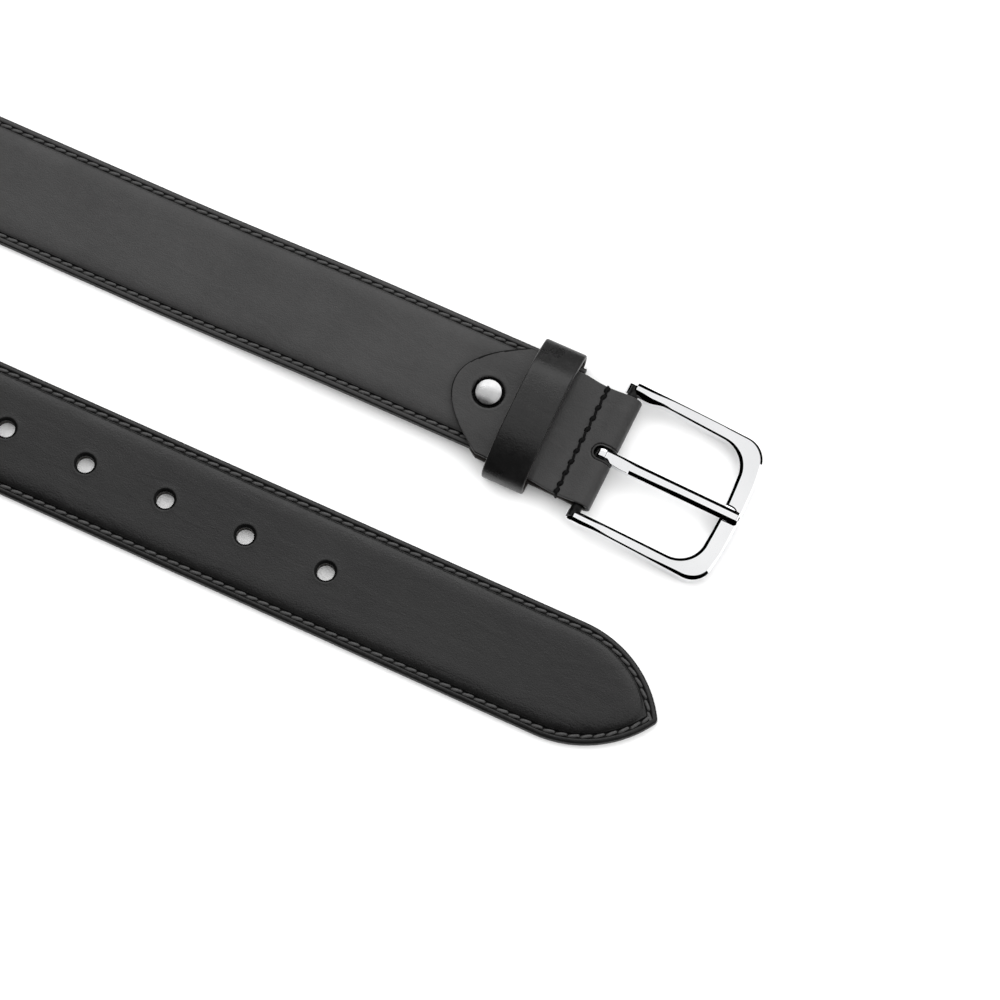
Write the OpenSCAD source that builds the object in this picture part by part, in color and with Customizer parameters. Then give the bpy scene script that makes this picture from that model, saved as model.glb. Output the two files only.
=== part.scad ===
// Leather belt, 35 mm wide, lying in a loop with its buckle end and its tip side by side.
// The origin is the middle punched hole of the tip arm, at the surface that the belt lies on.
// +X runs along both arms towards the buckle and the tip, +Y towards the buckle arm, +Z up.

/* [Strap] */
// Width of the strap
strap_w = 35; // [33:0.5:36]
// Length along the strap from the buckle bar to the middle hole
belt_size = 900; // [840:10:1100]
// Thickness of the front leather
front_t = 1.4; // [1.2:0.1:1.6]
// Thickness of the filler under the raised centre
filler_t = 0.9; // [0.6:0.1:1]
// Width of the filler where it lies on the lining
filler_w = 27.2; // [26:0.2:28]
// Thickness of the lining leather
lining_t = 1.0; // [0.8:0.1:1.2]
// Radius of the two arcs that form the tip
tip_r = 34.2; // [30:0.2:45]

/* [Holes] */
// Number of punched holes, an odd number
hole_count = 5; // [3:2:7]
// Distance between hole centres
hole_pitch = 25; // [20:1:30]
// Diameter of a punched hole
hole_d = 5; // [3.5:0.5:6]
// Length from the last hole to the end of the tip
tip_run = 101.6; // [80:1:140]

/* [Lie of the belt] */
// Distance between the centre lines of the two arms
arm_gap = 67; // [50:1:90]
// How far the loop bellies out past the arms
loop_flare = 6.2; // [5.8:0.05:6.3]
// Length over which an arm turns from flat to standing on edge
twist_run = 200; // [150:5:220]
// How far the buckle bar lies in front of the middle hole
bar_x = 106.2; // [90:1:120]

/* [Chape] */
// Thickness of the chape leather
chape_t = 1.2; // [1:0.1:1.4]
// Length from the bar to the end of each leaf
chape_len = 47.2; // [42:1:60]
// Distance from the bar to the rivet
rivet_back = 36.7; // [33:0.5:40]
// Distance from the bar to the end of the strap between the leaves
strap_back = 14.7; // [13:0.5:20]
// Distance from the bar to the sewn row
row_back = 7; // [6:0.5:8]
// Angle by which the chape is turned about the rivet
skew = 2.5; // [0:0.1:3]
// Angle by which the bar and its fold are turned back towards square
bar_turn = 1.6; // [0:0.1:2]
// Sideways offset of the chape at the rivet
chape_shift = 1.2; // [0:0.1:1.5]

/* [Keeper] */
// Width of the keeper along the strap
keeper_w = 12.6; // [10:0.2:15]
// Outside length of the keeper across the strap
keeper_span = 43.8; // [42:0.2:46]
// Thickness of the keeper leather
keeper_t = 1.4; // [1.2:0.1:1.5]
// Free height inside the keeper above the chape, for the tip
keeper_room = 4.3; // [4.1:0.1:6]
// Distance from the bar to the middle of the keeper
keeper_back = 22.4; // [18:0.2:24]

/* [Buckle] */
// Inside width of the frame
frame_in_w = 38.6; // [38:0.2:42]
// Outside width of the frame at the bar
frame_out_w = 45; // [44.5:0.1:48]
// Length from the bar to the outer end of the frame
frame_len = 42.6; // [38:0.2:50]
// Length of the window from the bar to the end bar
window_len = 37.3; // [33:0.1:44]
// Thickness of the frame
frame_t = 4; // [3.6:0.1:4.4]
// Radius of the bar that the chape is folded round
bar_r = 1.6; // [1.4:0.1:1.7]
// Width of the prong at its eye
prong_w = 4.4; // [3.6:0.1:5]
// Sideways offset of the prong from the middle of the frame
prong_shift = 1.9; // [0:0.1:3]

/* [Hidden] */

$fn = 96;
half_w = strap_w / 2;
edge_t = lining_t + front_t;
strap_t = edge_t + filler_t;

// Stitch channel: a groove along each edge, and the thread that lies in it
groove_from_edge = 1.55;
groove_w = 1.2;
groove_out = half_w - groove_from_edge;
groove_in = groove_out - groove_w;
groove_d = 0.4;
thread_gap = 0.1;
thread_clear = 0.02;
thread_h = 0.36;

// Raised centre: how much narrower its top is than its foot, on the front and on the filler
crown_taper = 6;
filler_taper = 5;
crown_w = filler_w - crown_taper;
filler_top_w = filler_w - filler_taper;

// Strap sections as chains of points across the strap, from the inner edge to the outer edge
function mirrored(half) = concat([for (i = [len(half) - 1:-1:0]) [-half[i][0], half[i][1]]], half);
front_top = mirrored([[crown_w / 2, strap_t], [groove_in, edge_t], [groove_in, edge_t - groove_d],
                      [groove_out, edge_t - groove_d], [groove_out, edge_t], [half_w, edge_t]]);
front_bottom = mirrored([[filler_top_w / 2, lining_t + filler_t], [filler_w / 2, lining_t],
                         [half_w, lining_t]]);
filler_top = mirrored([[filler_top_w / 2, lining_t + filler_t]]);
filler_bottom = mirrored([[filler_w / 2, lining_t]]);
lining_top = mirrored([[filler_w / 2, lining_t], [half_w, lining_t]]);
lining_bottom = mirrored([[groove_in, 0], [groove_in, groove_d], [groove_out, groove_d],
                          [groove_out, 0], [half_w, 0]]);

function thread_chain(side, z) = side > 0
    ? [[groove_in + thread_gap, z], [groove_out - thread_gap, z]]
    : [[-groove_out + thread_gap, z], [-groove_in - thread_gap, z]];

// Heights at the buckle end, where the keeper and the rear leaf lift the strap
keeper_gap = 0.15;
lift = keeper_t + keeper_gap + chape_t;
mid_z = lift + strap_t / 2;
leaf_z = lift + strap_t + chape_t;
ramp_x1 = 35;
ramp_x0 = -35;
ramp_rings = 8;

// Plan of the loop: heading (in degrees) along half the loop, from 0 at the arm to -90 at the far end
function heading(t) = (loop_flare * t ^ 2 - (5 * loop_flare / 3 + PI) * t ^ 3
                       + (2 * loop_flare / 3 + PI / 2) * t ^ 4) * 180 / PI;
rings = 33;
substeps = 12;
steps = rings * substeps;
function total(v, i = 0) = i < len(v) ? v[i] + total(v, i + 1) : 0;
mean_sine = total([for (i = [0:steps - 1]) sin(heading((i + 0.5) / steps))]) / steps;
half_loop = -arm_gap / 2 / mean_sine;
step = half_loop / steps;
loop_x = (bar_x + 2 * half_loop - belt_size) / 2;
half_plan = [for (i = 0, x = loop_x, y = arm_gap / 2; i <= steps;
                  x = x - step * cos(heading((i + 0.5) / steps)),
                  y = y + step * sin(heading((i + 0.5) / steps)),
                  i = i + 1) [x, y]];
function smooth(t) = t <= 0 ? 0 : t >= 1 ? 1 : t * t * (3 - 2 * t);

// A station holds a point on the strap's underside, its outward direction and its face's direction
function loop_station(j) =
    let (side = j <= rings ? 1 : -1,
         i = (j <= rings ? j : 2 * rings - j) * substeps,
         turn = heading(i / steps),
         twist = 90 * smooth(i * step / twist_run),
         out = [sin(turn), side * cos(turn), 0],
         place = [half_plan[i][0], arm_gap / 2 + side * half_plan[i][1], half_w * sin(twist)])
    [place, cos(twist) * out - [0, 0, sin(twist)], sin(twist) * out + [0, 0, cos(twist)]];
function ramp_station(j) =
    let (t = j / ramp_rings)
    [[ramp_x1 + (ramp_x0 - ramp_x1) * t, arm_gap, lift * (1 - smooth(t))], [0, 1, 0], [0, 0, 1]];
stations = concat([for (j = [0:ramp_rings]) ramp_station(j)],
                  [for (j = [0:2 * rings]) loop_station(j)]);

// Outline of the tip arm in plan, drawn in by d from the strap's edge
tip_x = (hole_count - 1) / 2 * hole_pitch + tip_run;
tip_side = sqrt(tip_r ^ 2 - (tip_r - half_w) ^ 2);
tip_start = tip_x - tip_side;

// Buckle end
rivet_x = bar_x - rivet_back;
strap_end = bar_x - strap_back;
bore_gap = 0.06;
fold_in_r = bar_r + bore_gap;
fold_out_r = fold_in_r + chape_t;
flat_from = -10.2;
flat_to = -5.3;
row_gap = 0.5;
row_top = row_gap + chape_t;
slot_back = 3.5;
slot_w = prong_w + 1;
frame_tilt = asin((mid_z - frame_t / 2) / frame_len);

// Triangles that fill the section between two chains, from point i of one and point j of the other.
// Near a groove the chain without it runs ahead, by reach on the bottom or by -reach on the top.
function fill(bottom, top, reach, i = 0, j = 0) =
    let (nb = len(bottom), last_i = i == nb - 1, last_j = j == len(top) - 1)
    last_i && last_j ? []
    : !last_i && (last_j || bottom[i + 1][0] <= top[j + 1][0] + reach)
        ? concat([[i, i + 1, nb + j]], fill(bottom, top, reach, i + 1, j))
        : concat([[i, nb + j + 1, nb + j]], fill(bottom, top, reach, i, j + 1));

// A closed strip swept along the stations; both chains run from the inner to the outer edge
module strip(bottom, top, reach = 1.6) {
    nb = len(bottom);
    nt = len(top);
    n = nb + nt;
    last = len(stations) - 1;
    points = [for (s = stations) for (q = concat(bottom, top)) s[0] + q[0] * s[1] + q[1] * s[2]];
    under = [for (i = [0:last - 1]) for (k = [0:nb - 2])
             let (a = i * n + k) each [[a, a + 1, a + n + 1], [a, a + n + 1, a + n]]];
    over = [for (i = [0:last - 1]) for (k = [nb:n - 2])
            let (a = i * n + k) each [[a, a + n + 1, a + 1], [a, a + n, a + n + 1]]];
    inner = [for (i = [0:last - 1]) let (a = i * n, b = i * n + nb)
             each [[a, b + n, b], [a, a + n, b + n]]];
    outer = [for (i = [0:last - 1]) let (a = i * n + nb - 1, b = i * n + n - 1)
             each [[a, b, a + n], [b, b + n, a + n]]];
    section = fill(bottom, top, reach);
    first_end = [for (t = section) [t[0], t[2], t[1]]];
    last_end = [for (t = section) [for (k = t) last * n + k]];
    polyhedron(points, concat(under, over, inner, outer, first_end, last_end));
}

// The same section along the straight stretch behind the chape
module buckle_run(bottom, top, to = strap_end) {
    translate([ramp_x1, arm_gap, lift]) rotate([90, 0, 90]) linear_extrude(to - ramp_x1)
        polygon(concat(bottom, [for (i = [len(top) - 1:-1:0]) top[i]]));
}

// The same section along the tip arm
module tip_run_section(bottom, top) {
    translate([loop_x, 0, 0]) rotate([90, 0, 90]) linear_extrude(tip_x - loop_x)
        polygon(concat(bottom, [for (i = [len(top) - 1:-1:0]) top[i]]));
}

arc_steps = 14;
function tip_arc(d, side) =
    let (apex = acos((tip_r - half_w) / (tip_r - d)))
    [for (i = [0:arc_steps]) let (a = apex * i / arc_steps)
        [tip_start + (tip_r - d) * sin(a), side * (half_w - tip_r + (tip_r - d) * cos(a))]];
module tip_outline(d) {
    far = tip_arc(d, 1);
    polygon(concat([[loop_x, -half_w + d]], tip_arc(d, -1),
                   [for (i = [arc_steps - 1:-1:0]) far[i]], [[loop_x, half_w - d]]));
}

module tip_slab(d, z0, z1) {
    translate([0, 0, z0]) linear_extrude(z1 - z0) tip_outline(d);
}

module punched_holes() {
    for (i = [0:hole_count - 1])
        translate([(i - (hole_count - 1) / 2) * hole_pitch, 0, -1]) cylinder(d = hole_d, h = strap_t + 2);
}

// Places its children with their origin at the middle of the buckle bar
module at_bar() {
    translate([rivet_x, arm_gap - chape_shift, mid_z]) rotate([0, 0, -skew])
        translate([rivet_back, 0, 0]) rotate([0, 0, bar_turn]) children();
}

// Turns its children from the bar's direction to the leaves' direction
module along_leaves() {
    rotate([0, 0, -bar_turn]) children();
}

module at_rivet() {
    translate([rivet_x, arm_gap - chape_shift, mid_z]) children();
}

post_r = 2;
post_gap = 0.05;
module rivet_bore() {
    at_rivet() translate([0, 0, -strap_t]) cylinder(r = post_r + post_gap, h = 2 * strap_t);
}

module strap_front() {
    color([0.13, 0.125, 0.125]) difference() {
        union() {
            strip(front_bottom, front_top);
            buckle_run(front_bottom, front_top);
            difference() {
                intersection() {
                    tip_run_section([[-half_w, lining_t], [half_w, lining_t]], front_top);
                    tip_slab(0, 0, strap_t + 1);
                }
                filler_in_tip();
                thread_path(edge_t - groove_d, edge_t + 1, 0);
            }
        }
        punched_holes();
        rivet_bore();
    }
}

filler_setback = 5;
module filler_in_tip() {
    intersection() {
        tip_run_section(filler_bottom, filler_top);
        tip_slab(filler_setback, 0, strap_t);
    }
}

module strap_filler() {
    color([0.42, 0.33, 0.25]) difference() {
        union() {
            strip(filler_bottom, filler_top);
            buckle_run(filler_bottom, filler_top);
            filler_in_tip();
        }
        punched_holes();
        rivet_bore();
    }
}

module strap_lining() {
    color([0.16, 0.14, 0.13]) difference() {
        union() {
            strip(lining_bottom, lining_top, -1.6);
            buckle_run(lining_bottom, lining_top);
            difference() {
                tip_slab(0, 0, lining_t);
                thread_path(-1, groove_d, 0);
            }
        }
        punched_holes();
        rivet_bore();
    }
}

// The groove along both edges of the tip arm and round its tip, narrowed by gap on each side
module thread_path(z0, z1, gap) {
    translate([0, 0, z0]) linear_extrude(z1 - z0) difference() {
        tip_outline(half_w - groove_out + gap);
        tip_outline(half_w - groove_in - gap);
    }
}

module edge_thread(z0, z1) {
    for (side = [-1, 1]) {
        strip(thread_chain(side, z0), thread_chain(side, z1));
        buckle_run(thread_chain(side, z0), thread_chain(side, z1));
    }
    thread_path(z0, z1, thread_gap);
}

module edge_thread_front() {
    z0 = edge_t - groove_d + thread_clear;
    color([0.05, 0.05, 0.05]) edge_thread(z0, z0 + thread_h);
}

module edge_thread_back() {
    z1 = groove_d - thread_clear;
    color([0.05, 0.05, 0.05]) edge_thread(z1 - thread_h, z1);
}

// Side view of the chape, with the bar at the origin: two leaves joined by a fold
function round_bar(half) = concat(half, [[0, 0]],
                                  [for (i = [len(half) - 1:-1:0]) [half[i][0], -half[i][1]]]);
function tangent_angle(x, z, r) = atan2(z, x) - acos(r / norm([x, z]));
blend = 0.97;
fold_w = strap_w + 6;
module across_chape() {
    translate([0, fold_w / 2, 0]) rotate([90, 0, 0]) linear_extrude(fold_w) children();
}

module bar_fold(r) {
    rotate([90, 0, 0]) cylinder(r = r, h = fold_w, center = true);
}

module folded_leaves() {
    leaf_top = strap_t / 2 + chape_t;
    touch = tangent_angle(flat_to, row_top, fold_out_r);
    over = [[-chape_len, leaf_top], [-strap_back - 1, leaf_top], [flat_from, row_top],
            [flat_to, row_top], blend * fold_out_r * [cos(touch), sin(touch)]];
    pocket = tangent_angle(flat_to, row_gap, fold_in_r);
    inside = [[-chape_len - 1, strap_t / 2], [-strap_back, strap_t / 2], [flat_from - 0.3, row_gap],
              [flat_to, row_gap], blend * fold_in_r * [cos(pocket), sin(pocket)]];
    difference() {
        union() {
            across_chape() polygon(round_bar(over));
            bar_fold(fold_out_r);
        }
        bar_fold(fold_in_r);
        across_chape() polygon(round_bar(inside));
    }
}

// Plan of each leaf: straight sides and a parabolic end
end_len = 15.3;
module chape_plan() {
    n = 16;
    polygon(concat([[fold_out_r + 1, -half_w]],
                   [for (i = [-n:n]) [-chape_len + end_len * (i / n) ^ 2, half_w * i / n]],
                   [[fold_out_r + 1, half_w]]));
}

head_r = 3.8;
seat_r = 4.1;
front_seat = 0.3;
back_seat = 0.8;
module chape() {
    leaf_top = strap_t / 2 + chape_t;
    color([0.14, 0.135, 0.135]) at_bar() difference() {
        intersection() {
            folded_leaves();
            along_leaves() translate([0, 0, -5]) linear_extrude(10) chape_plan();
        }
        translate([-slot_back, -prong_shift - slot_w / 2, -5]) cube([slot_back + 10, slot_w, 10]);
        along_leaves() translate([-rivet_back, 0, 0]) {
            translate([0, 0, -5]) cylinder(r = post_r + post_gap, h = 10);
            translate([0, 0, leaf_top - front_seat]) cylinder(r = seat_r, h = 5);
            translate([0, 0, -leaf_top - 5 + back_seat]) cylinder(r = seat_r, h = 5);
        }
    }
}

row_thread_h = 0.45;
row_thread_w = 1;
row_margin = 1;
module chape_row(z0) {
    at_bar() translate([-row_back - row_thread_w / 2, -half_w + row_margin, z0])
        cube([row_thread_w, strap_w - 2 * row_margin, row_thread_h]);
}

module chape_thread_front() {
    color([0.04, 0.04, 0.04]) chape_row(row_top);
}

module chape_thread_back() {
    color([0.04, 0.04, 0.04]) chape_row(-row_top - row_thread_h);
}

// Two-part belt screw: a domed head on a hollow post, and a slotted screw from behind
screw_r = 1.2;
screw_gap = 0.05;
screw_slot_w = 1;
screw_slot_d = 0.4;
bore_end = 1;
head_side = 0.45;
dome_h = 0.65;
module rivet_post() {
    seat_z = strap_t / 2 + chape_t - front_seat;
    dome_r = (head_r ^ 2 + dome_h ^ 2) / (2 * dome_h);
    color([0.72, 0.72, 0.73]) at_rivet() difference() {
        union() {
            intersection() {
                translate([0, 0, seat_z + head_side + dome_h - dome_r]) sphere(dome_r, $fn = 128);
                translate([0, 0, seat_z]) cylinder(r = head_r, h = head_side + dome_h + 1);
            }
            translate([0, 0, back_seat - strap_t / 2 - chape_t])
                cylinder(r = post_r, h = seat_z - back_seat + strap_t / 2 + chape_t);
        }
        translate([0, 0, -strap_t]) cylinder(r = screw_r, h = strap_t + seat_z - bore_end);
    }
}

module rivet_screw() {
    leaf_top = strap_t / 2 + chape_t;
    color([0.6, 0.6, 0.61]) at_rivet() translate([0, 0, -leaf_top]) difference() {
        union() {
            cylinder(r = head_r, h = back_seat);
            cylinder(r = screw_r - screw_gap, h = leaf_top + 1);
        }
        translate([-head_r, -screw_slot_w / 2, -1]) cube([2 * head_r, screw_slot_w, 1 + screw_slot_d]);
    }
}

// Loop of leather round the strap and both leaves, with its ends butted under the strap
keeper_h = leaf_z + keeper_room + keeper_t;
keeper_corner = 4;
keeper_shift = 1.6;
butt_gap = 0.3;
module rounded(w, h, r) {
    translate([-w / 2 + r, 0]) square([w - 2 * r, h]);
    translate([-w / 2, r]) square([w, h - 2 * r]);
    for (x = [-w / 2 + r, w / 2 - r]) for (y = [r, h - r]) translate([x, y]) circle(r);
}

module at_keeper() {
    translate([bar_x - keeper_back, arm_gap - keeper_shift, 0]) children();
}

// Two wire staples across the butt, each let into a groove under the loop
staple_w = 7;
staple_r = 0.3;
staple_at = [-3, 3];
staple_z = 0.35;
staple_leg = 1;
staple_groove_w = 0.8;
staple_groove_d = 0.7;
staple_hole_r = 0.35;
module keeper() {
    color([0.12, 0.115, 0.115]) at_keeper() difference() {
        translate([-keeper_w / 2, 0, 0]) rotate([90, 0, 90]) linear_extrude(keeper_w) difference() {
            rounded(keeper_span, keeper_h, keeper_corner);
            translate([0, keeper_t]) rounded(keeper_span - 2 * keeper_t, keeper_h - 2 * keeper_t,
                                             keeper_corner - keeper_t);
            translate([-butt_gap / 2, -1]) square([butt_gap, keeper_t + 2]);
        }
        for (x = staple_at) translate([x, 0, -1]) {
            translate([-staple_groove_w / 2, -(staple_w + staple_groove_w) / 2, 0])
                cube([staple_groove_w, staple_w + staple_groove_w, 1 + staple_groove_d]);
            for (y = [-1, 1]) translate([0, y * staple_w / 2, 0]) cylinder(r = staple_hole_r, h = 3);
        }
    }
}

module keeper_staple() {
    color([0.7, 0.7, 0.7]) at_keeper() for (x = staple_at) translate([x, 0, staple_z]) {
        rotate([90, 0, 0]) cylinder(r = staple_r, h = staple_w, center = true);
        for (y = [-1, 1]) translate([0, y * staple_w / 2, 0]) {
            sphere(staple_r);
            cylinder(r = staple_r, h = staple_leg);
        }
    }
}

// Frame outline in plan, with the bar at the origin: two arms and a slightly bowed end bar
corner_out = 6.5;
corner_in = 8.5;
flare = 0.5;
bow = 1.1;
lug_r = 2.4;
lug_inset = 0.2;
function arc(centre, r, from, to, n) =
    [for (i = [0:n]) let (a = from + (to - from) * i / n) centre + r * [cos(a), sin(a)]];
module frame_plan() {
    out_w = frame_out_w / 2;
    in_w = frame_in_w / 2;
    side_x = frame_len - bow;
    bow_w = out_w + flare - corner_out;
    bow_r = (bow_w ^ 2 + bow ^ 2) / (2 * bow);
    bow_a = asin(bow_w / bow_r);
    polygon(concat([[0, -out_w]],
                   arc([side_x - corner_out, -bow_w], corner_out, -90, -5, 10),
                   arc([frame_len - bow_r, 0], bow_r, -bow_a * 0.98, bow_a * 0.98, 10),
                   arc([side_x - corner_out, bow_w], corner_out, 5, 90, 10),
                   [[0, out_w], [0, in_w]],
                   arc([window_len - corner_in, in_w - corner_in], corner_in, 90, 0, 10),
                   arc([window_len - corner_in, corner_in - in_w], corner_in, 0, -90, 10),
                   [[0, -in_w]]));
}

seat_depth = 1.2;
seat_w = prong_w + 0.8;
module buckle_frame() {
    color([0.8, 0.8, 0.82]) at_bar() difference() {
        union() {
            rotate([0, frame_tilt, 0]) translate([0, 0, -frame_t / 2]) linear_extrude(frame_t) frame_plan();
            for (y = [-1, 1]) translate([0, y * (frame_in_w + frame_out_w) / 4, 0])
                rotate([90, 0, 0])
                    cylinder(r = lug_r, h = (frame_out_w - frame_in_w) / 2 - 2 * lug_inset, center = true);
        }
        bar();
        rotate([0, frame_tilt, 0]) translate([window_len - 2, -prong_shift - seat_w / 2,
                                              frame_t / 2 - seat_depth])
            cube([frame_len, seat_w, 3]);
    }
}

// The bar is let into each lug by bar_in
bar_in = 2;
module bar() {
    rotate([90, 0, 0]) cylinder(r = bar_r, h = frame_in_w + 2 * bar_in, center = true);
}

module buckle_bar() {
    color([0.55, 0.55, 0.56]) at_bar() bar();
}

// Prong: an eye on the bar and a tapering shank that rests in the seat of the end bar
eye_r = 2.7;
eye_gap = 0.05;
seat_gap = 0.1;
overhang = 0.2;
shank_top = 2.2;
prong_tip_w = 3.4;
prong_tip_t = 2.3;
tip_bevel = 1;
tip_drop = 0.6;
module prong() {
    seat_x = window_len;
    seat_z = -seat_x * sin(frame_tilt) + (frame_t / 2 - seat_depth) * cos(frame_tilt) + seat_gap;
    end_x = frame_len + overhang;
    end_z = seat_z - (end_x - seat_x) * tan(frame_tilt);
    color([0.8, 0.8, 0.82]) at_bar() translate([0, -prong_shift, 0]) difference() {
        union() {
            rotate([90, 0, 0]) cylinder(r = eye_r, h = prong_w, center = true);
            intersection() {
                translate([0, prong_w / 2, 0]) rotate([90, 0, 0]) linear_extrude(prong_w)
                    polygon([[0, 0], [seat_x, seat_z], [end_x, end_z],
                             [end_x, end_z + prong_tip_t - tip_drop],
                             [end_x - tip_bevel, end_z + prong_tip_t], [2, shank_top], [0, shank_top]]);
                translate([0, 0, -10]) linear_extrude(20)
                    polygon([[0, -prong_w / 2], [end_x - tip_bevel, -prong_tip_w / 2],
                             [end_x, -prong_tip_w / 2 + tip_bevel], [end_x, prong_tip_w / 2 - tip_bevel],
                             [end_x - tip_bevel, prong_tip_w / 2], [0, prong_w / 2]]);
            }
        }
        rotate([90, 0, 0]) cylinder(r = bar_r + eye_gap, h = prong_w + 2, center = true);
    }
}

strap_front();
strap_filler();
strap_lining();
edge_thread_front();
edge_thread_back();
chape();
chape_thread_front();
chape_thread_back();
rivet_post();
rivet_screw();
keeper();
keeper_staple();
buckle_frame();
buckle_bar();
prong();
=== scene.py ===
import math

import bmesh
import bpy
import numpy as np
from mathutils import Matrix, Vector


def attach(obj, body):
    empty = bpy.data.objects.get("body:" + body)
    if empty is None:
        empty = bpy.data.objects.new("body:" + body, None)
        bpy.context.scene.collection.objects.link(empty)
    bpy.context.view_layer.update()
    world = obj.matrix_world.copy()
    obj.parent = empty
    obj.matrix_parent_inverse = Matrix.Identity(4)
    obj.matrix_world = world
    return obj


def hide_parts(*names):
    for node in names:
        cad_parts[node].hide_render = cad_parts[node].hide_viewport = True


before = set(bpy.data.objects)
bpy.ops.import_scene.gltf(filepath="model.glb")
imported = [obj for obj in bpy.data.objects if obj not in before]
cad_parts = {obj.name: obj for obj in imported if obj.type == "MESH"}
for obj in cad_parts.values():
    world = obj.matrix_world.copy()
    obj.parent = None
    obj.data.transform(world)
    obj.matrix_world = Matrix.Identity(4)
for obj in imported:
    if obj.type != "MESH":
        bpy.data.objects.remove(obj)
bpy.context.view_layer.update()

# Shapes are in millimetres in the row frame. The floor, lights and camera are in metres.
# X runs along both arms towards the tip and the buckle, and Y from the tip's arm to the buckle's.
MM = 0.001
# the strap: half its width, its thickness, and its length from the bar to the middle hole
HALF_W = 17.5
STRAP_T = 3.3
BELT_SIZE = 900.0
HOLES = (-50.0, -25.0, 0.0, 25.0, 50.0)
STITCH_Y = 15.35
# the coil: distance between the arms, the bar's place, and how the loop spreads and stands up
ARM_GAP = 67.0
BAR_X = 106.2
LOOP_FLARE = 6.2
TWIST_RUN = 200.0
# the buckle's arm is lifted by the chape's rear leaf and comes down over a ramp
LIFT = 2.75
RAMP = 35.0
MID_Z = LIFT + STRAP_T / 2
STRAP_END = BAR_X - 14.7
# the tip: two arcs that meet in a small rounded nose
TIP_R = 34.2
TIP_X = 151.6
TIP_START = TIP_X - math.sqrt(TIP_R ** 2 - (TIP_R - HALF_W) ** 2)
NOSE_R = 1.5
# the chape lies a little askew round the belt screw, and the bar is turned part of the way back
SKEW = math.radians(2.5)
BAR_TURN = math.radians(1.6)
RIVET_BACK = 36.7
RIVET = (BAR_X - RIVET_BACK, ARM_GAP - 1.2)


# ---------------------------------------------------------------- mesh helpers
def finish_mesh(name, bm, materials, sharp_deg=40.0):
    """Turns a bmesh into a smooth-shaded object with sharp edges beyond an angle."""
    mesh = bpy.data.meshes.new(name)
    bm.to_mesh(mesh)
    bm.free()
    for material in materials:
        mesh.materials.append(material)
    mesh.shade_smooth()
    mesh.set_sharp_from_angle(angle=math.radians(sharp_deg))
    obj = bpy.data.objects.new(name, mesh)
    bpy.context.scene.collection.objects.link(obj)
    return obj


def mesh_object(name, verts, faces, materials, sharp_deg=40.0, weld=1e-7, face_materials=None):
    """A closed, outward-facing mesh from millimetre points."""
    bm = bmesh.new()
    points = [bm.verts.new(tuple(float(c) * MM for c in v)) for v in verts]
    for i, face in enumerate(faces):
        made = bm.faces.new([points[k] for k in face])
        if face_materials is not None:
            made.material_index = face_materials[i]
    bmesh.ops.remove_doubles(bm, verts=bm.verts, dist=weld)
    bmesh.ops.dissolve_degenerate(bm, edges=bm.edges, dist=weld)
    bmesh.ops.recalc_face_normals(bm, faces=bm.faces)
    return finish_mesh(name, bm, materials, sharp_deg)


def cut(obj, cutter, operation="DIFFERENCE", sharp_deg=40.0):
    """Applies a boolean and removes the cutter."""
    modifier = obj.modifiers.new("cut", "BOOLEAN")
    modifier.operation = operation
    modifier.solver = "EXACT"
    modifier.object = cutter
    graph = bpy.context.evaluated_depsgraph_get()
    result = bpy.data.meshes.new_from_object(obj.evaluated_get(graph))
    obj.modifiers.clear()
    old = obj.data
    obj.data = result
    bpy.data.meshes.remove(old)
    bpy.data.objects.remove(cutter)
    bm = bmesh.new()
    bm.from_mesh(obj.data)
    bmesh.ops.remove_doubles(bm, verts=bm.verts, dist=2e-7)
    bmesh.ops.dissolve_degenerate(bm, edges=bm.edges, dist=2e-7)
    bm.to_mesh(obj.data)
    bm.free()
    obj.data.shade_smooth()
    obj.data.set_sharp_from_angle(angle=math.radians(sharp_deg))
    return obj


def smooth(t):
    """Soft step from 0 to 1."""
    t = min(1.0, max(0.0, float(t)))
    return t * t * (3 - 2 * t)


def loft(rings, close_ends=True):
    """Vertices and faces of a closed tube through rings of equal length."""
    n = len(rings[0])
    verts = [p for ring in rings for p in ring]
    faces = []
    for r in range(len(rings) - 1):
        for k in range(n):
            a, b = r * n + k, r * n + (k + 1) % n
            faces.append((a, b, b + n, a + n))
    if close_ends:
        faces.append(tuple(range(n)))
        faces.append(tuple((len(rings) - 1) * n + k for k in range(n)))
    return verts, faces


def joined(tubes):
    """Several lofted tubes as one list of vertices and one of faces."""
    verts, faces = [], []
    for rings in tubes:
        more_verts, more_faces = loft(rings)
        base = len(verts)
        verts += more_verts
        faces += [tuple(k + base for k in face) for face in more_faces]
    return verts, faces


def turned(profile, point, count):
    """Turns a closed outline of (radius, height) pairs. point(radius, angle, height) places a vertex."""
    angles = [2 * math.pi * i / count for i in range(count + 1)]
    return loft([[point(r, a, h) for r, h in profile] for a in angles], close_ends=False)


def circle(count):
    """Angles of evenly spaced points round a circle."""
    return np.linspace(0, 2 * math.pi, count, endpoint=False)


def spline(p0, p1, p2, p3, t):
    """Point at t of the smooth curve from p1 to p2 through four neighbouring points."""
    return 0.5 * (2 * p1 + (p2 - p0) * t + (2 * p0 - 5 * p1 + 4 * p2 - p3) * t * t
                  + (3 * p1 - p0 - 3 * p2 + p3) * t ** 3)


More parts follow.
